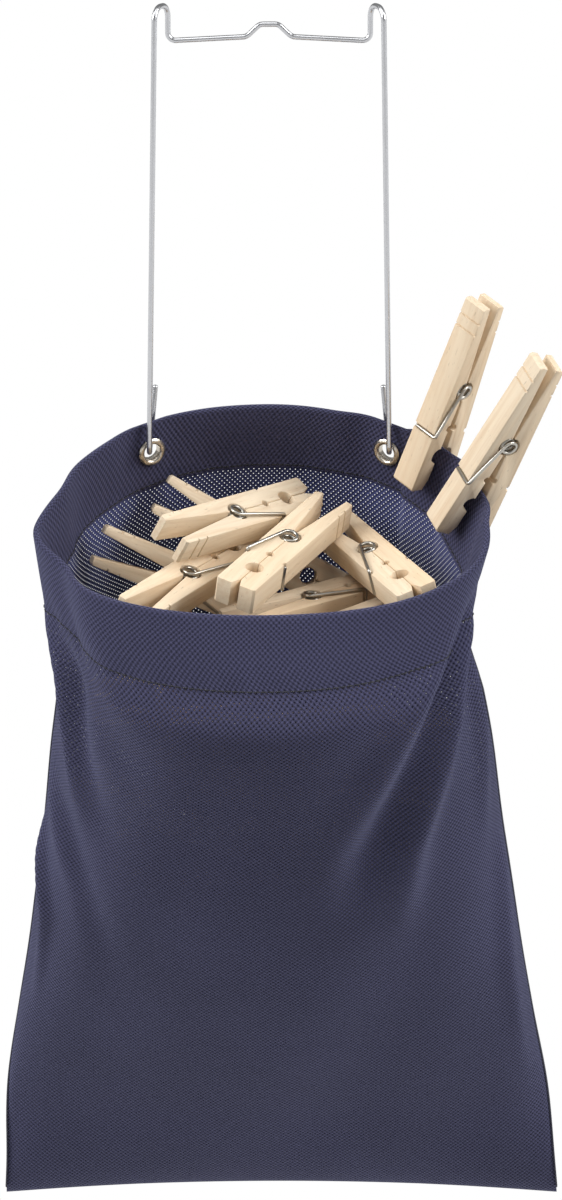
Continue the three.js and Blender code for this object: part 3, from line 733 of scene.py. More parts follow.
# Folds of the cloth: a path of (turn in degrees, v) stops, the width in degrees and the depth as a
# share of the deepest fold, below zero for a valley
FOLDS = [
    # The long fold at the front right: its valley and a ridge on each side
    ([(331, .05), (318, .16), (297, .36), (288, .5)], 7, -.85),
    ([(344, .05), (331, .16), (310, .36), (301, .53)], 5, .55),
    ([(317, .05), (303, .18), (283, .4)], 6.5, .42),
    # Creases down the front left
    ([(196, .08), (204, .2), (216, .36)], 3.6, .55),
    ([(206, .1), (214, .22), (226, .38)], 6, -.5),
    ([(188, .4), (200, .52), (199, .68)], 3.2, .45),
    ([(192, .3), (214, .46), (222, .58)], 5.5, .3),
    ([(204, .32), (224, .52), (230, .66)], 7, -.25),
    # Softer folds at the right edge, under the hem and at the back
    ([(350, .42), (340, .62), (338, .8)], 5, .28),
    ([(218, .04), (240, .3)], 9, -.22),
    ([(353, .12), (347, .24), (338, .42)], 4, .42),
    ([(30, .12), (60, .5)], 12, -.35),
    ([(150, .16), (120, .52)], 12, -.2),
    # The pointed left corner of the rim, with a hollow on each side
    ([(191, -.06), (192, .1), (193, .26)], 10.5, .42),
    ([(168, -.06), (170, .2)], 9, -.34),
    ([(216, -.06), (213, .2)], 10, -.34),
    # Room for a loose peg's tip at the front of the rim
    ([(247, -.06), (247, .14)], 10, .11),
]


def fold(turns, heights, path, width, depth):
    """A fold along a path of (turn in degrees, v) stops: a valley for a depth below zero."""
    stops = np.array(path, float)
    order = np.argsort(stops[:, 1])
    centre = np.interp(heights, stops[order, 1], stops[order, 0])
    off = (np.degrees(turns) - centre + 180) % 360 - 180
    start, end = stops[order, 1][[0, -1]]
    fade = eased(heights, start - .03, start + .05) * (1 - eased(heights, end - .2, end + .02))
    return depth * fade * np.exp(-(off / width) ** 2)


def swell(turns, heights, seed, across, down, depth):
    """Gentle uneven swelling from a few waves with whole numbers round the bag."""
    order = random.Random(seed)
    total = np.zeros_like(turns)
    count = 7
    for _ in range(count):
        humps = order.randint(*across)
        rise = order.uniform(*down)
        start = order.uniform(0, 6.28)
        total += math.sqrt(1 / count) * np.sin(humps * turns + rise * heights + start)
    return depth * total


def near_facet(turns, facet, close, far):
    """1 on a flat facet of the rim, falling to 0 between two distances from it."""
    around, (low, high) = wrapped(turns), facet
    return (eased(around, low - far, low - close)
            * (1 - eased(around, high + close, high + far)))


def cloth_relief(turns, heights, deepest):
    """How far the cloth stands out from its plain shape, in millimetres."""
    relief = sum(swell(turns, heights, *kind) for kind in SWELLS)
    for path, width, part in FOLDS:
        relief += fold(turns, heights, path, width, part * deepest)
    near_stitches = np.exp(-((heights - HEM_SHARE) * BAG_LENGTH / PUCKER_REACH) ** 2)
    relief += near_stitches * (swell(turns, heights, *PUCKER) - PUCKER_SINK)
    relief *= eased(1 - heights, 0, .12)
    kept = np.ones_like(turns)
    for facet in FACETS:
        near = near_facet(turns, facet, .03, .22)
        kept *= 1 - near * (1 - eased(heights, HEM_SHARE, 2.4 * HEM_SHARE))
    return relief * kept


def rim_roll(turns, cloth):
    """Radius of the rolled rim: full where it is free and flat at pegs and eyelets."""
    held = np.zeros_like(turns)
    for facet in FACETS:
        held = np.maximum(held, near_facet(turns, facet, .02, .2))
    free = cloth.rim_radius / MM
    return free + (HELD_RIM - free) * held


def outer_cloth(turns, heights, deepest):
    """The outside as a grid of points, and the way that each of them faces."""
    turns, heights = np.meshgrid(turns, heights)
    outside = bag_point(turns, heights)
    across = np.roll(outside, -1, axis=1) - np.roll(outside, 1, axis=1)
    normal = unit(np.cross(across, np.gradient(outside, axis=0)))
    middle = outside.mean(axis=1, keepdims=True)
    facing_out = np.sign((normal * (outside - middle)).sum(axis=(1, 2)))
    normal *= facing_out[:, None, None]
    outside = outside + normal * cloth_relief(turns, heights, deepest)[..., None]
    outside[..., 2] -= BOTTOM_CURVE * eased(heights, .8, 1) * np.cos(2 * turns)
    return outside, normal


def hem_inside(turns, v, side, thick, deepest):
    """A row of the hem's inner layer: the cloth at v, set in by its thickness."""
    level = np.full_like(turns, v)
    inset = cloth_relief(turns, level, deepest) - thick
    return bag_point(turns, level) + unit(side) * inset[:, None]


def cloth_grid(cloth):
    """The cloth as one grid: up the outside, over the rim and down inside to the hem's edge."""
    turns = TURN * np.arange(COLUMNS) / COLUMNS
    heights = np.concatenate([1 - np.linspace(0, 1, OUTER_ROWS), HEM_SHARE + STITCH_LINE_ROWS])
    heights = np.sort(heights)[::-1]
    deepest = cloth.fold_depth / MM
    outside, normal = outer_cloth(turns, heights, deepest)
    roll = rim_roll(turns, cloth)
    up = unit(outside[-1] - outside[-3])

    def drop(v):
        return up * (roll * (1 - eased(v, 0, HEM_SHARE / 2)))[:, None]

    outside -= np.array([drop(v) for v in heights])
    over, inside = [], []
    for k in range(1, RIM_ROWS + 1):
        angle = math.pi * k / (RIM_ROWS + 1)
        over.append(outside[-1] - normal[-1] * (roll * (1 - math.cos(angle)))[:, None]
                    + up * (roll * math.sin(angle))[:, None])
    for t in np.linspace(0, 1, FACING_ROWS):
        v = HEM_SHARE * t
        thick = 2 * roll + (HEM_EDGE - 2 * roll) * eased(t, .1, .95)
        side = np.array([[np.interp(-v, -heights, normal[:, j, axis]) for axis in range(3)]
                         for j in range(COLUMNS)])
        inside.append(hem_inside(turns, v, side, thick, deepest) - drop(v))
    return heights, np.concatenate([outside, np.array(over), np.array(inside)]), normal


def cloth_skin(heights, grid):
    """Points and faces of the cloth, closed at the bottom seam, with places on the flat cut."""
    rows = len(grid)
    lengths = np.linalg.norm(np.roll(grid, -1, axis=1) - grid, axis=2)
    across = np.concatenate([np.zeros((rows, 1)), np.cumsum(lengths, axis=1)], axis=1)
    across *= 2 * BAG_WIDTH / across[:, -1:]
    up = np.concatenate([(1 - heights) * BAG_LENGTH,
                         BAG_LENGTH + np.linspace(.2, HEM_DEPTH, rows - len(heights))])
    faces, places = quads(rows, COLUMNS, lambda i, j: (across[i, j], up[i]))
    for j in range(COLUMNS // 2):
        opposite = (COLUMNS - j) % COLUMNS, (COLUMNS - j - 1) % COLUMNS
        corners = tuple(dict.fromkeys((j + 1, j, *opposite)))
        faces.append(corners)
        places += [(across[0, corner], 0) for corner in corners]
    return grid.reshape(-1, 3).copy(), faces, places


def with_eyelet_holes(points, faces, places):
    """The cloth without the faces in the eyelets' barrels, with round edges to the two holes."""
    cut, reach = EYELET_HOLE / 2 + 2 * EYELET_WALL, 5
    starts = np.concatenate([[0], np.cumsum([len(face) for face in faces])])
    kept = np.ones(len(faces), bool)
    for turn in EYELET_TURNS:
        matrix = np.array(eyelet_place(turn))
        local = (points - matrix[:3, 3]) @ matrix[:3, :3]
        radius = np.hypot(local[:, 0], local[:, 2])
        near = set(np.flatnonzero((np.abs(local[:, 1]) < reach) & (radius < 3 * cut)))
        gone = [n for n, face in enumerate(faces)
                if near.issuperset(face) and radius[list(face)].mean() < cut]
        kept[gone] = False
        inner = {corner for n in gone for corner in faces[n]}
        edge = sorted({corner for n in np.flatnonzero(kept) for corner in faces[n]} & inner)
        local[np.ix_(edge, (0, 2))] *= (cut / radius[edge])[:, None]
        points[edge] = local[edge] @ matrix[:3, :3].T + matrix[:3, 3]
    left = np.flatnonzero(kept)
    flat = [places[k] for n in left for k in range(starts[n], starts[n + 1])]
    used = np.unique([corner for n in left for corner in faces[n]])
    number = np.full(len(points), -1)
    number[used] = np.arange(len(used))
    return points[used], [tuple(number[list(faces[n])].tolist()) for n in left], flat


def slot_of(node):
    """The record's material slot of a solid."""
    parts = frame["record"]["subparts"]
    return next(part["material_slot"] for part in parts if part["node"] == node)


def stand_for(made, body, *nodes):
    """Puts a piece in the place of solids, on their body."""
    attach(made, body)
    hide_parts(*nodes)
    slot_of(nodes[0])


# A stitch's radius, how far it stands off the cloth, how its ends sink in, and the gaps at its ends
STITCH_RADIUS, STITCH_LIFT, STITCH_SINK = .26, .16, np.array([.3, .02, 0, .02, .3])
STITCH_START, STITCH_STOP = .25, .35
# A tape's section as (across, out) points, how deep it is set, how its edges bend to the cloth, and
# where its far edge lies on the flat
TAPE_OUTLINE = [(-1.5, 0), (-1.42, .42), (-.9, .62), (-.3, .55), (.3, .55), (.9, .62), (1.42, .42),
                (1.5, 0), (.9, -.1), (-.9, -.1)]
TAPE_SINK, TAPE_CROWN, TAPE_FAR = .1, .012, 3.6


class PEGBAG_OT_cloth(bpy.types.Operator):
    """Makes the cloth with its rolled hem, the hem's stitches and the tapes on the side seams"""
    bl_idname = "peg_bag.cloth"
    bl_label = "Cloth"

    def execute(self, context):
        cloth = context.scene.peg_bag.cloth
        heights, grid, normal = cloth_grid(cloth)
        skin = with_eyelet_holes(*cloth_skin(heights, grid))
        body = piece("bag_cloth", skin, cloth_finish(cloth), BAG_PLACE, smooth_below=180)
        stand_for(body, "bag", "back_panel", "front_panel", "rim_facing")
        stitches = self.stitches(cloth, heights, grid, normal)
        tapes = [self.tape(cloth, heights, grid, normal, side) for side in ("right", "left")]
        return {"FINISHED"}

    def stitches(self, cloth, heights, grid, normal):
        """One row of stitches round the hem, showing outside and inside."""
        row = int(np.argmin(np.abs(heights - HEM_SHARE)))
        inner = len(grid) - 2
        parts = []
        for level, side in ((row, 1), (inner, -1)):
            line = grid[level] + normal[row] * (STITCH_LIFT * side)
            line = np.vstack([line, line[:1]])
            run = run_along(line)
            pitch = cloth.stitch / MM
            for k in range(int(run[-1] / pitch)):
                along = np.linspace(k * pitch + STITCH_START, (k + 1) * pitch - STITCH_STOP,
                                    len(STITCH_SINK))
                dash = np.array([np.interp(along, run, line[:, axis]) for axis in range(3)]).T
                column = np.interp(along, run, np.arange(len(run))).astype(int) % COLUMNS
                dash -= normal[row][column] * (side * STITCH_SINK)[:, None]
                parts.append(tube(dash, STITCH_RADIUS, 6))
        made = piece("hem_stitches", joined(parts), thread_finish(cloth), BAG_PLACE)
        slot_of("back_panel")
        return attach(made, "bag")

    def tape(self, cloth, heights, grid, normal, side):
        """A thin tape, rounded at its edges, down one side seam."""
        column = 0 if side == "right" else COLUMNS // 2
        kept = [i for i, v in enumerate(heights) if HEM_SHARE + .004 < v < .985]
        rings = []
        for i in kept:
            out = normal[i, column]
            wide = np.cross(unit(grid[i + 1, column] - grid[i - 1, column]), out)
            rings.append([grid[i, column] + wide * w + out * (h - TAPE_SINK - TAPE_CROWN * w ** 4)
                          for w, h in TAPE_OUTLINE])
        run = np.array([(1 - heights[i]) * BAG_LENGTH for i in kept])
        girth = np.linspace(TAPE_OUTLINE[0][0], TAPE_FAR, len(TAPE_OUTLINE) + 1)
        points, faces, places = loft(np.array(rings), run, girth)
        shape = points, faces, [(across, up) for up, across in places]
        made = piece(f"{side}_seam_tape", shape, tape_finish(cloth), BAG_PLACE)
        stand_for(made, "bag", f"{side}_seam_binding")
        return made


# Metal

# Bend radii of the hanger wire at the line hooks, the bag hooks and the hump's peak, the cross
# bar's ends and the hump's feet, and how far a bag hook's end leans in
LINE_BEND, HOOK_BEND, BAR_BEND, HUMP_BEND, HOOK_LEAN = LINE_HOOK_GAP / 2 - .3, 3.2, 3, 4, 2.6
# How far the rolled edges of an eyelet and its washer swell past their flat faces
ROLL_SWELL, FLANGE_SWELL, WASHER_SWELL = .8, 1.4, .3


def turned(profile, sides=48):
    """A ring turned from a closed profile of (radius, along) points about the Y axis."""
    count = len(profile)
    points, faces, places = [], [], []
    run = run_along(np.array(profile + profile[:1]))
    for i in range(sides):
        angle, n = TURN * i / sides, (i + 1) % sides
        points += [(r * math.sin(angle), a, r * math.cos(angle)) for r, a in profile]
        here, there = (TURN * EYELET_FLANGE / 2 * step / sides for step in (i, i + 1))
        for j in range(count):
            k = (j + 1) % count
            faces.append((i * count + j, i * count + k, n * count + k, n * count + j))
            places += [(here, run[j]), (here, run[j + 1]), (there, run[j + 1]), (there, run[j])]
    return np.array(points), faces, places


def bulged(start, end, middle, steps=6):
    """Points of a rounded edge from start to end, swelling towards middle."""
    made = []
    for k in range(1, steps):
        t = k / steps
        made.append(tuple((1 - t) ** 2 * a + 2 * t * (1 - t) * m + t * t * b
                          for a, m, b in zip(start, middle, end)))
    return made


class PEGBAG_OT_hanger(bpy.types.Operator):
    """Bends the hanger from one length of wire"""
    bl_idname = "peg_bag.hanger"
    bl_label = "Hanger"

    def execute(self, context):
        metal = context.scene.peg_bag.metal
        low, top = -HANGER_DROP, WIRE / 2
        bar = top - LINE_HOOK_DEPTH
        long_leg, short_leg, half = -.62 * BAG_HOOK_GAP, .38 * BAG_HOOK_GAP, LINE_HOOK_GAP / 2
        hook = EYELET_SPAN / 2 - CLEARANCE

        def side_of(side):
            return [
                (Vector((side * (EYELET_SPAN / 2 - HOOK_LEAN), short_leg, low + BAG_HOOK_LEG)), 0),
                (Vector((side * hook, short_leg, low)), HOOK_BEND),
                (Vector((side * hook, long_leg, low)), HOOK_BEND),
                (Vector((side * HOOK_SPAN / 2, -half, top)), LINE_BEND),
                (Vector((side * CROSSBAR_SPAN / 2, half, top)), LINE_BEND),
                (Vector((side * CROSSBAR_SPAN / 2, half, bar)), BAR_BEND),
                (Vector((side * HUMP_WIDTH / 2, half, bar + CROSSBAR_RISE)), HUMP_BEND),
            ]

        hump = bar + CROSSBAR_RISE + HUMP_HEIGHT
        peak = [(Vector((side * HUMP_WIDTH / 5, half, hump)), HOOK_BEND) for side in (-1, 1)]
        path = rounded_path(side_of(-1) + peak + side_of(1)[::-1])
        wire = piece("bent_wire_hanger", tube(path, metal.wire / MM / 2, 16),
                     wire_finish("hanger_wire_steel", tuple(metal.steel), .2))
        stand_for(wire, "hanger", "hanger_wire")
        return {"FINISHED"}


class PEGBAG_OT_eyelets(bpy.types.Operator):
    """Turns the two eyelets and their washers with rolled edges"""
    bl_idname = "peg_bag.eyelets"
    bl_label = "Eyelets"

    def execute(self, context):
        finish = nickel_finish(context.scene.peg_bag.metal)
        hole, flange = EYELET_HOLE / 2, EYELET_FLANGE / 2
        barrel = hole + EYELET_WALL
        rolled = barrel + EYELET_WALL
        front = -STACK - CLEARANCE
        back = 2 * CLEARANCE + EYELET_WALL
        tube_profile = [(barrel, front), (barrel, back), (rolled, back)]
        tube_profile += bulged((rolled, back), (hole, back - .2), (hole + .2, back + ROLL_SWELL), 8)
        tube_profile += [(hole, back - .2), (hole, front)]
        tube_profile += bulged((hole, front), (flange, front - .1),
                               (hole + .9, front - FLANGE_SWELL), 14)
        tube_profile += [(flange, front - .1), (flange - .1, front)]
        inner, top = barrel + CLEARANCE, CLEARANCE + EYELET_WALL
        washer_profile = [(inner, CLEARANCE), (flange, CLEARANCE)]
        washer_profile += bulged((flange, CLEARANCE), (inner, top),
                                 (flange - .2, top + WASHER_SWELL), 8)
        washer_profile += [(inner, top)]
        for side, turn in zip(("right", "left"), EYELET_TURNS):
            place = BAG_PLACE @ eyelet_place(turn)
            for kind, profile in (("eyelet", tube_profile), ("washer", washer_profile)):
                made = piece(f"{side}_plated_{kind}", turned(profile), finish, place,
                             smooth_below=50)
                stand_for(made, "bag", f"{side}_{kind}")
        return {"FINISHED"}


# Pegs. A peg's own frame has its origin in the spring coil, +Y towards the handles, X along the
# coil and leg a on the +Z side.

# A leg's jaw notches as (place from the tip, radius, fineness), how the jaw opens at its tip as
# (gap, length), the bevel of its ends and the room round the coil
JAW_NOTCHES, TIP, BEVEL, COIL_ROOM = [(15.6, 3.4, 2), (28.5, 1.5, 1)], (1.7, 4.5), .9, .7
# Grooves near the handle's end, the section of one as (along, deep) points, and the bar's groove
HANDLE_GROOVES, GROOVE = (7, 12), [(.5, 0), (.12, .75), (-.12, .75), (-.5, 0)]
BAR_GROOVE = 1.1
# How far a spring's bar stops short of the leg's far side, and the bend from bar to arm
BAR_SHORT, ARM_BEND = 1.5, 1.1


def arc(y, z, radius, start, end, steps):
    """Points (y, z) of an arc about a middle, from one angle to another."""
    angles = [start + (end - start) * k / steps for k in range(steps + 1)]
    return [(y + radius * math.cos(angle), z + radius * math.sin(angle)) for angle in angles]


def leg_outline(steps):
    """The side of a leg as (y, z) points: jaw, its notches, coil notch, handle and grooves."""
    inner, outer, tip = CLEARANCE / 2, LEG_THICKNESS, -JAW_LENGTH
    outline = [(tip, inner + TIP[0]), (tip + TIP[1], inner)]
    for place, radius, fineness in JAW_NOTCHES:
        outline += arc(tip + place, inner, radius, math.pi, 0, fineness * steps)
    coil = COIL_RADIUS + SPRING_WIRE / 2 + COIL_ROOM
    outline += arc(0, inner, coil, math.pi, math.atan(HANDLE_TAPER), 2 * steps)
    outline += [(HANDLE_LENGTH, inner + HANDLE_LENGTH * HANDLE_TAPER),
                (HANDLE_LENGTH, outer - BEVEL), (HANDLE_LENGTH - BEVEL, outer)]
    for place in HANDLE_GROOVES:
        outline += [(HANDLE_LENGTH - place + along, outer - deep) for along, deep in GROOVE]
    outline += arc(-BAR_FROM_COIL, outer, BAR_GROOVE, 0, -math.pi, steps)
    return outline + [(tip + BEVEL, outer), (tip, outer - BEVEL)]


def pulled_in(outline, amount):
    """An outline moved inwards by an amount at every corner."""
    points = np.array(outline)
    after = np.roll(points, -1, axis=0)
    along = unit(after - np.roll(points, 1, axis=0))
    area = (points[:, 0] * after[:, 1] - after[:, 0] * points[:, 1]).sum()
    inward = np.stack([-along[:, 1], along[:, 0]], axis=1) * np.sign(area)
    return points + inward * amount


def leg_shape(rounding, steps):
    """Points, faces and flat places of leg a, with its long edges rounded."""
    outline = leg_outline(steps)
    half = PEG_WIDTH / 2
    levels = [(-half, 0)]
    if rounding:
        levels = [(-half, rounding), (-half + .3 * rounding, .3 * rounding), (-half + rounding, 0)]
    levels += [(-x, inset) for x, inset in reversed(levels)]
    rings = np.array([[(x, y, z) for y, z in pulled_in(outline, inset)] for x, inset in levels])
    return loft(rings, [x for x, _ in levels], run_along(np.array(outline + outline[:1])))


def spring_shape(opening, radius, steps, sides):
    """Points, faces and flat places of a spring: a bar on each leg, two arms and the coil."""
    cos, sin = math.cos(opening), math.sin(opening)
    bar_y = -BAR_FROM_COIL * cos + LEG_THICKNESS * sin
    bar_z = LEG_THICKNESS * cos + BAR_FROM_COIL * sin
    touch = math.atan2(bar_z, bar_y) - math.acos(COIL_RADIUS / math.hypot(bar_y, bar_z))
    sweep = 2 * touch + TURN * COIL_TURNS
    count = round(steps * sweep / TURN)

    def arm(side):
        return rounded_path([
            (Vector((-side * (PEG_WIDTH / 2 - BAR_SHORT), bar_y, side * bar_z)), 0),
            (Vector((side * ARM_OFFSET, bar_y, side * bar_z)), ARM_BEND),
            (Vector((side * ARM_OFFSET, COIL_RADIUS * math.cos(touch),
                     side * COIL_RADIUS * math.sin(touch))), 0),
        ], 360 / steps)[:-1]

    coil = []
    for k in range(count + 1):
        angle = -touch + sweep * k / count
        coil.append(Vector((ARM_OFFSET * (-1 + 2 * k / count), COIL_RADIUS * math.cos(angle),
                            COIL_RADIUS * math.sin(angle))))
    return tube(arm(-1) + coil + arm(1)[::-1], radius, sides)


def leg_place(which, opening):
    """The matrix of leg a or b in its peg, opened by an angle."""
    if which == "a":
        return Matrix.Rotation(-opening, 4, "X")
    return Matrix.Rotation(opening, 4, "X") @ Matrix.Rotation(math.pi, 4, "Y")


def wooden(name, shapes, matrices, finish, order):
    """A piece of one or more legs. Each leg's grain comes from its own place in the wood."""
    parts, grain = [], []
    for (points, faces, places), matrix in zip(shapes, matrices):
        parts.append((placed(points, matrix), faces, places))
        start = [order.uniform(-9, 9) for _ in range(3)]
        slant = order.uniform(-.05, .05)
        local = np.asarray(points) * MM
        grain.append(local + local[:, 1:2] * np.array((slant, 0, slant)) + np.array(start))
    made = piece(name, joined(parts), finish, smooth_below=32)
    held = made.data.attributes.new("grain", "FLOAT_VECTOR", "POINT")
    held.data.foreach_set("vector", np.vstack(grain).ravel())
    return made


def peg_frame(wide, along, upper, coil):
    """The matrix of a peg with its three directions and the place of its coil."""
    return Matrix([*zip(wide, along, upper, coil), (0, 0, 0, 1)])


def peg_place(name, legs):
    """A peg's frame, in millimetres, from its jaw's hinge and the solids of its two legs."""
    hinge = next(j for j in frame["joints"] if j["name"] == f"{name}_jaw_open")
    origin = np.array(hinge["pos_m"], float) / MM
    axis = unit(np.array(hinge["axis"], float))
    tips, middles = [], []
    for leg in legs:
        solid = frame["nodes"][f"{name}_{leg}"]
        points = np.array([v.co for v in solid.data.vertices]) / MM - origin
        away = np.linalg.norm(points, axis=1)
        tips.append(points[away > away.max() - 2].mean(0))
        middles.append(points.mean(0))
    along = -(tips[0] + tips[1])
    along = unit(along - axis * along.dot(axis))
    if np.cross(along, middles[0] - middles[1]).dot(axis) < 0:
        axis = -axis
    return peg_frame(axis, along, np.cross(axis, along), origin)


def peg_finishes(settings):
    """The wood and the spring steel that all pegs share."""
    made = bpy.data.materials
    wood = made.get("peg_wood") or wood_finish(settings.wood)
    steel = made.get("peg_spring_steel") or wire_finish("peg_spring_steel",
                                                        tuple(settings.metal.spring), .22)
    return wood, steel


class PEGBAG_OT_pegs(bpy.types.Operator):
    """Makes the pegs that move: two clipped to the rim and four loose on the heap"""
    bl_idname = "peg_bag.pegs"
    bl_label = "Pegs"

    def execute(self, context):
        settings = context.scene.peg_bag
        wood, steel = peg_finishes(settings)
        shape = leg_shape(settings.wood.rounding / MM, 7)
        radius = settings.metal.spring_wire / MM / 2
        pegs = []
        for number, kind in enumerate(CLIP_KINDS, 1):
            reach = JAW_LENGTH * (1 - kind["depth"])
            opening = math.atan((STACK / 2 + 2.8 * CLEARANCE) / reach)
            pegs.append((f"clip_peg_{number}", ("inner_leg", "outer_leg"), opening))
        pegs += [(f"loose_peg_{number}", ("leg_a", "leg_b"), 0.0) for number in range(1, 5)]
        for index, (name, legs, opening) in enumerate(pegs):
            place = peg_place(name, legs)
            bodies = [frame["nodes"][f"{name}_{leg}"]["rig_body"] for leg in legs]
            order = random.Random(20 + index)
            for which, leg, body in zip("ab", legs, bodies):
                made = wooden(f"{name}_wood_{which}", [shape], [place @ leg_place(which, opening)],
                              wood, order)
                stand_for(made, body, f"{name}_{leg}")
            made = piece(f"{name}_coil", spring_shape(opening, radius, 22, 10), steel, place)
            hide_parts(f"{name}_spring")
            slot_of(f"{name}_spring")
            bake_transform(made)
        return {"FINISHED"}


# Layers of the heap: how many, how many of them finely made, the step from one to the next, the
# depth of the first, half a layer's height, and the tries at placing pegs in a fine and a plain one
LAYERS, FINE_LAYERS, LAYER, FIRST_DEPTH, HALF_LAYER = 21, 3, 15.2, 7.4, 6.5
FINE_TRIES, PLAIN_TRIES = 1600, 700
# Room kept at the cloth, at a peg's sides and ends, and to the middle of a leaning peg
WALL_ROOM, SIDE_ROOM, END_ROOM, LEANING_ROOM = 2.2, .8, .4, 7.6
# Pegs that lean out of the heap: the coil and the way from it to the handles, in the bag's frame
LEANING = [((-10.6, -15.4, -53), (-33.6, 1.5, 19.5)), ((-33.3, -38, -62.2), (-35.2, -1.4, 15.5))]


def heap_outline(depth, deepest):
    """Where a layer at a depth under the heap's top meets the cloth, as (x, y) on the slope."""
    turns = np.linspace(0, TURN, 72, endpoint=False)
    heights = np.linspace(.02, .99, 240)
    grid_turns, grid_heights = np.meshgrid(turns, heights, indexing="ij")
    dents = np.maximum(0, -cloth_relief(grid_turns, grid_heights, deepest))
    walls = bag_point(grid_turns, grid_heights, STACK + WALL_ROOM + dents)
    lean = math.radians(HEAP_SLOPE)
    rise = walls[..., 2] + HEAP_LEVEL - math.tan(lean) * (walls[..., 1] + DEPTHS[0])
    rise += depth / math.cos(lean)
    outline = []
    for wall, level in zip(walls, rise):
        v = np.interp(0, -level, np.arange(len(level)))
        x, y = (np.interp(v, np.arange(len(level)), wall[:, axis]) for axis in (0, 1))
        outline.append((x, (y + DEPTHS[0] - depth * math.sin(lean)) / math.cos(lean)))
    return np.array(outline)


def footprint(x, y, heading):
    """Corners of the room that a peg on its side takes in plan."""
    cos, sin = math.cos(heading), math.sin(heading)
    half = LEG_THICKNESS + SIDE_ROOM
    tip, end = -JAW_LENGTH - END_ROOM, HANDLE_LENGTH + END_ROOM
    return np.array([(x + cos * a - sin * b, y + sin * a + cos * b)
                     for a, b in ((tip, -half), (end, -half), (end, half), (tip, half))])


def leaning_room(coil, way, depth):
    """Corners, in plan, of the stretch of a leaning peg that is in a layer, if any is."""
    steps = np.linspace(-JAW_LENGTH, HANDLE_LENGTH, 80)[:, None]
    line = np.array(coil) + unit(np.array(way)) * steps
    cos, sin = math.cos(math.radians(HEAP_SLOPE)), math.sin(math.radians(HEAP_SLOPE))
    back, rise = line[:, 1] + DEPTHS[0], line[:, 2] + HEAP_LEVEL
    plan = np.stack([line[:, 0], cos * back + sin * rise], axis=1)
    within_layer = plan[np.abs(cos * rise - sin * back + depth) < LAYER]
    if len(within_layer) < 2:
        return []
    start, end = within_layer[0], within_layer[-1]
    side = unit(end - start) @ np.array([(0, 1), (-1, 0)])
    room = LEANING_ROOM * side
    return [np.array([start - room, end - room, end + room, start + room])]


def apart(first, second):
    """Whether two footprints have a line between them."""
    for shape in (first, second):
        for a, b in zip(shape, np.roll(shape, -1, axis=0)):
            across = np.array((a[1] - b[1], b[0] - a[0]))
            p, q = first @ across, second @ across
            if p.max() < q.min() or q.max() < p.min():
                return True
    return False


def within(corners, outline):
    """Whether all the points lie inside a closed outline."""
    xs, ys = outline.T
    xn, yn = np.roll(xs, -1), np.roll(ys, -1)
    for x, y in corners:
        crossing = (ys > y) != (yn > y)
        where = xs + (y - ys) * (xn - xs) / np.where(yn == ys, 1e-9, yn - ys)
        if (crossing & (x < where)).sum() % 2 == 0:
            return False
    return True


class PEGBAG_OT_heap(bpy.types.Operator):
    """Fills the bag with layers of pegs that lie on their sides, none through another"""
    bl_idname = "peg_bag.heap"
    bl_label = "Heap of pegs"

    def execute(self, context):
        settings = context.scene.peg_bag
        wood, steel = peg_finishes(settings)
        fine = leg_shape(settings.wood.rounding / MM, 5)
        plain = leg_shape(0, 2)
        radius = settings.metal.spring_wire / MM / 2
        fine_spring, plain_spring = spring_shape(0, radius, 16, 8), spring_shape(0, radius, 8, 5)
        slope = (Matrix.Translation((0, -DEPTHS[0], -HEAP_LEVEL))
                 @ Matrix.Rotation(math.radians(HEAP_SLOPE), 4, "X"))
        shapes, matrices, springs = [], [], []
        places = [(0, BAG_PLACE @ self.leaning(coil, Vector(way))) for coil, way in LEANING]
        on_side = Matrix.Rotation(math.pi / 2, 4, "Y")
        for layer in range(LAYERS):
            depth = FIRST_DEPTH + LAYER * layer
            for x, y, heading in self.layer(layer, depth, settings):
                flat = Matrix.Rotation(heading - math.pi / 2, 4, "Z")
                spot = Matrix.Translation((x, y, -depth))
                places.append((layer, BAG_PLACE @ slope @ spot @ flat @ on_side))
        for layer, place in places:
            is_fine = layer < FINE_LAYERS
            for which in "ab":
                shapes.append(fine if is_fine else plain)
                matrices.append(place @ leg_place(which, 0))
            points, faces, flats = fine_spring if is_fine else plain_spring
            springs.append((placed(points, place), faces, flats))
        heap = wooden("heap_pegs", shapes, matrices, wood, random.Random(settings.wood.heap_seed))
        coils = piece("heap_springs", joined(springs), steel)
        stand_for(heap, "bag", "peg_heap")
        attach(coils, "bag")
        slot_of("loose_peg_1_spring")
        return {"FINISHED"}

    def leaning(self, coil, way):
        """The frame of a peg whose broad side is turned to the front of the mouth."""
        along = way.normalized()
        wide = Vector((0, -.95, .3))
        wide = (wide - along * wide.dot(along)).normalized()
        return peg_frame(wide, along, wide.cross(along), coil)

    def layer(self, number, depth, settings):
        """Places (x, y, heading) of the pegs of one layer."""
        order = random.Random(100 * settings.wood.heap_seed + number)
        deepest = settings.cloth.fold_depth / MM
        outlines = [heap_outline(depth + side * HALF_LAYER, deepest) for side in (-1, 1)]
        low, high = outlines[0].min(0), outlines[0].max(0)
        taken = [room for coil, way in LEANING for room in leaning_room(coil, way, depth)]
        kept = []
        for _ in range(FINE_TRIES if number < FINE_LAYERS else PLAIN_TRIES):
            place = (order.uniform(low[0], high[0]), order.uniform(low[1], high[1]),
                     order.uniform(0, TURN))
            corners = footprint(*place)
            if (all(within(corners, outline) for outline in outlines)
                    and all(apart(corners, other) for other in taken)):
                kept.append(place)
                taken.append(corners)
        return kept


# Stage

FLOOR, FLOOR_REACH = -1.25, 30.0
LIGHT_TARGET = (0, -.05, -.2)
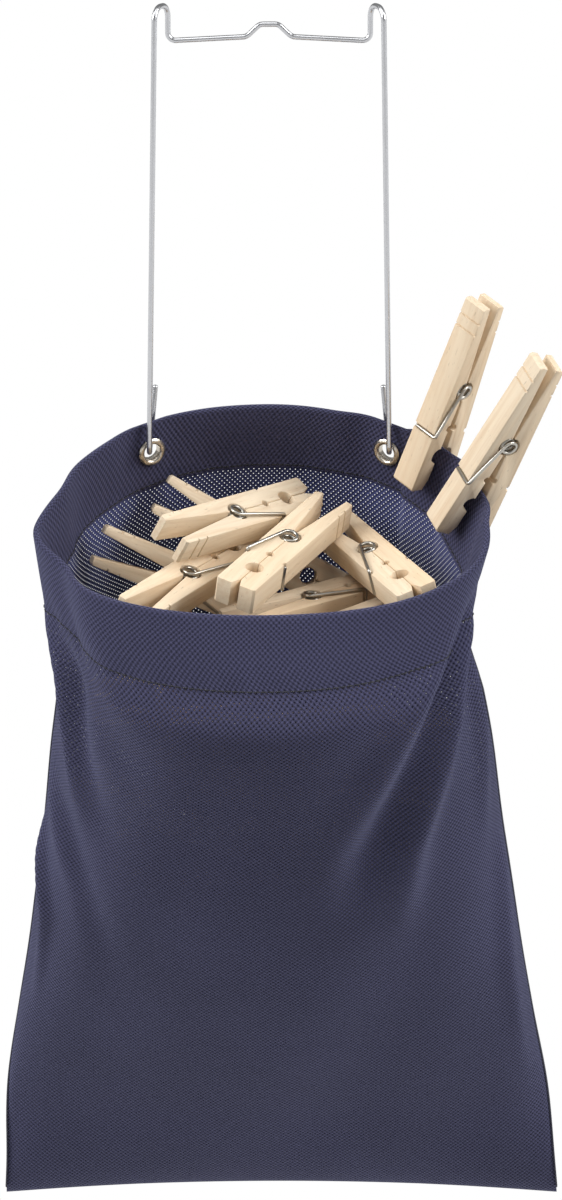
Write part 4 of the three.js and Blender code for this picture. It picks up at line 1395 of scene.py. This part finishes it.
# The camera fitted to the photograph: lens and sensor in millimetres, how far it looks down, what
# it looks at and how far it stands away
CAMERA_LENS, CAMERA_SENSOR, CAMERA_DOWN = 148.5, 36, math.radians(15.6)
CAMERA_TARGET, CAMERA_AWAY = (.0047, -.0319, -.2326), 1.98


class PEGBAG_OT_stage(bpy.types.Operator):
    """Sets the plain floor, the soft lights and the camera"""
    bl_idname = "peg_bag.stage"
    bl_label = "Stage"

    def execute(self, context):
        settings = context.scene.peg_bag.stage
        scene = context.scene
        scene.view_settings.view_transform = "Standard"
        corners = ((-1, -1), (1, -1), (1, 1), (-1, 1))
        mesh = bpy.data.meshes.new("floor")
        mesh.from_pydata([(x * FLOOR_REACH, y * FLOOR_REACH, FLOOR) for x, y in corners], [],
                         [(0, 1, 2, 3)])
        floor = bpy.data.objects.new("floor", mesh)
        scene.collection.objects.link(floor)
        mesh.materials.append(self.floor_finish(settings))
        self.room(scene, settings)
        self.light("side_light_left", (-1.45, -.5, .75), 1.1, settings.key)
        self.light("side_light_right", (1.45, -.5, .75), 1.1, settings.key)
        self.light("top_light", (-.2, -.75, 1.7), 1.5, settings.top)
        self.camera(scene)
        return {"FINISHED"}

    def floor_finish(self, settings):
        """Pale floor that the camera sees as white, with part of the shadow kept."""
        finish = Finish("pale_floor", Roughness=.9, Specular_IOR_Level=.1)
        finish.set("Base Color", tuple(settings.floor))
        tree = finish.tree
        rays = [finish.node("ShaderNodeLightPath", {}, {}, out=name)
                for name in ("Is Camera Ray", "Is Glossy Ray", "Is Transmission Ray")]
        seen = (rays[0] + rays[1] + rays[2]).held()
        glow = finish.node("ShaderNodeEmission", {}, {"Color": (1, 1, 1), "Strength": 1.0})
        surface = Term(finish, finish.shader.outputs[0])
        both = finish.node("ShaderNodeMixShader", {}, {0: seen, 1: surface, 2: glow})
        tree.links.new(both.socket, tree.nodes["Material Output"].inputs["Surface"])
        return finish.material

    def room(self, scene, settings):
        """White all round for the camera, and a softer sky for the light."""
        world = bpy.data.worlds.new("room")
        scene.world = world
        world.use_nodes = True
        tree = world.node_tree
        backs = [tree.nodes["Background"], tree.nodes.new("ShaderNodeBackground")]
        for back, strength in zip(backs, (settings.sky, 1.0)):
            back.inputs["Color"].default_value = (1, 1, 1, 1)
            back.inputs["Strength"].default_value = strength
        rays = tree.nodes.new("ShaderNodeLightPath")
        both = tree.nodes.new("ShaderNodeMixShader")
        tree.links.new(rays.outputs["Is Camera Ray"], both.inputs[0])
        tree.links.new(backs[0].outputs[0], both.inputs[1])
        tree.links.new(backs[1].outputs[0], both.inputs[2])
        tree.links.new(both.outputs[0], tree.nodes["World Output"].inputs["Surface"])

    def light(self, name, place, size, power):
        """A round area light that shines at the bag."""
        lamp = bpy.data.lights.new(name, "AREA")
        lamp.energy = power
        lamp.shape = "DISK"
        lamp.size = size
        made = bpy.data.objects.new(name, lamp)
        made.location = place
        way = Vector(LIGHT_TARGET) - Vector(place)
        made.rotation_euler = way.to_track_quat("-Z", "Y").to_euler()
        bpy.context.scene.collection.objects.link(made)

    def camera(self, scene):
        """The camera that sees the bag as the photograph does."""
        lens = bpy.data.cameras.new("camera")
        lens.sensor_fit = "VERTICAL"
        lens.sensor_height = CAMERA_SENSOR
        lens.lens = CAMERA_LENS
        lens.clip_end = 100
        made = bpy.data.objects.new("camera", lens)
        ahead = Vector((0, math.cos(CAMERA_DOWN), -math.sin(CAMERA_DOWN)))
        made.location = Vector(CAMERA_TARGET) - ahead * CAMERA_AWAY
        made.rotation_euler = (math.pi / 2 - CAMERA_DOWN, 0, 0)
        scene.collection.objects.link(made)
        scene.camera = made


class PEGBAG_PT_panel(bpy.types.Panel):
    """Lists the peg bag's pieces and settings"""
    bl_label = "Peg bag"
    bl_idname = "PEGBAG_PT_panel"
    bl_space_type = "VIEW_3D"
    bl_region_type = "UI"
    bl_category = "Peg bag"

    def draw(self, context):
        settings = context.scene.peg_bag
        for operator in OPERATORS:
            self.layout.operator(operator.bl_idname)
        for group in (settings.cloth, settings.metal, settings.wood, settings.stage):
            box = self.layout.box()
            for name in group.__annotations__:
                box.prop(group, name)


OPERATORS = (PEGBAG_OT_stage, PEGBAG_OT_hanger, PEGBAG_OT_cloth, PEGBAG_OT_eyelets,
             PEGBAG_OT_pegs, PEGBAG_OT_heap)
CLASSES = (PegBagCloth, PegBagMetal, PegBagWood, PegBagStage, PegBagSettings, *OPERATORS,
           PEGBAG_PT_panel)


def register():
    for entry in CLASSES:
        bpy.utils.register_class(entry)
    bpy.types.Scene.peg_bag = PointerProperty(type=PegBagSettings)


def unregister():
    del bpy.types.Scene.peg_bag
    for entry in reversed(CLASSES):
        bpy.utils.unregister_class(entry)


def main():
    register()
    bpy.ops.peg_bag.stage()
    bpy.ops.peg_bag.hanger()
    bpy.ops.peg_bag.cloth()
    bpy.ops.peg_bag.eyelets()
    bpy.ops.peg_bag.pegs()
    bpy.ops.peg_bag.heap()


if __name__ == "__main__":
    main()
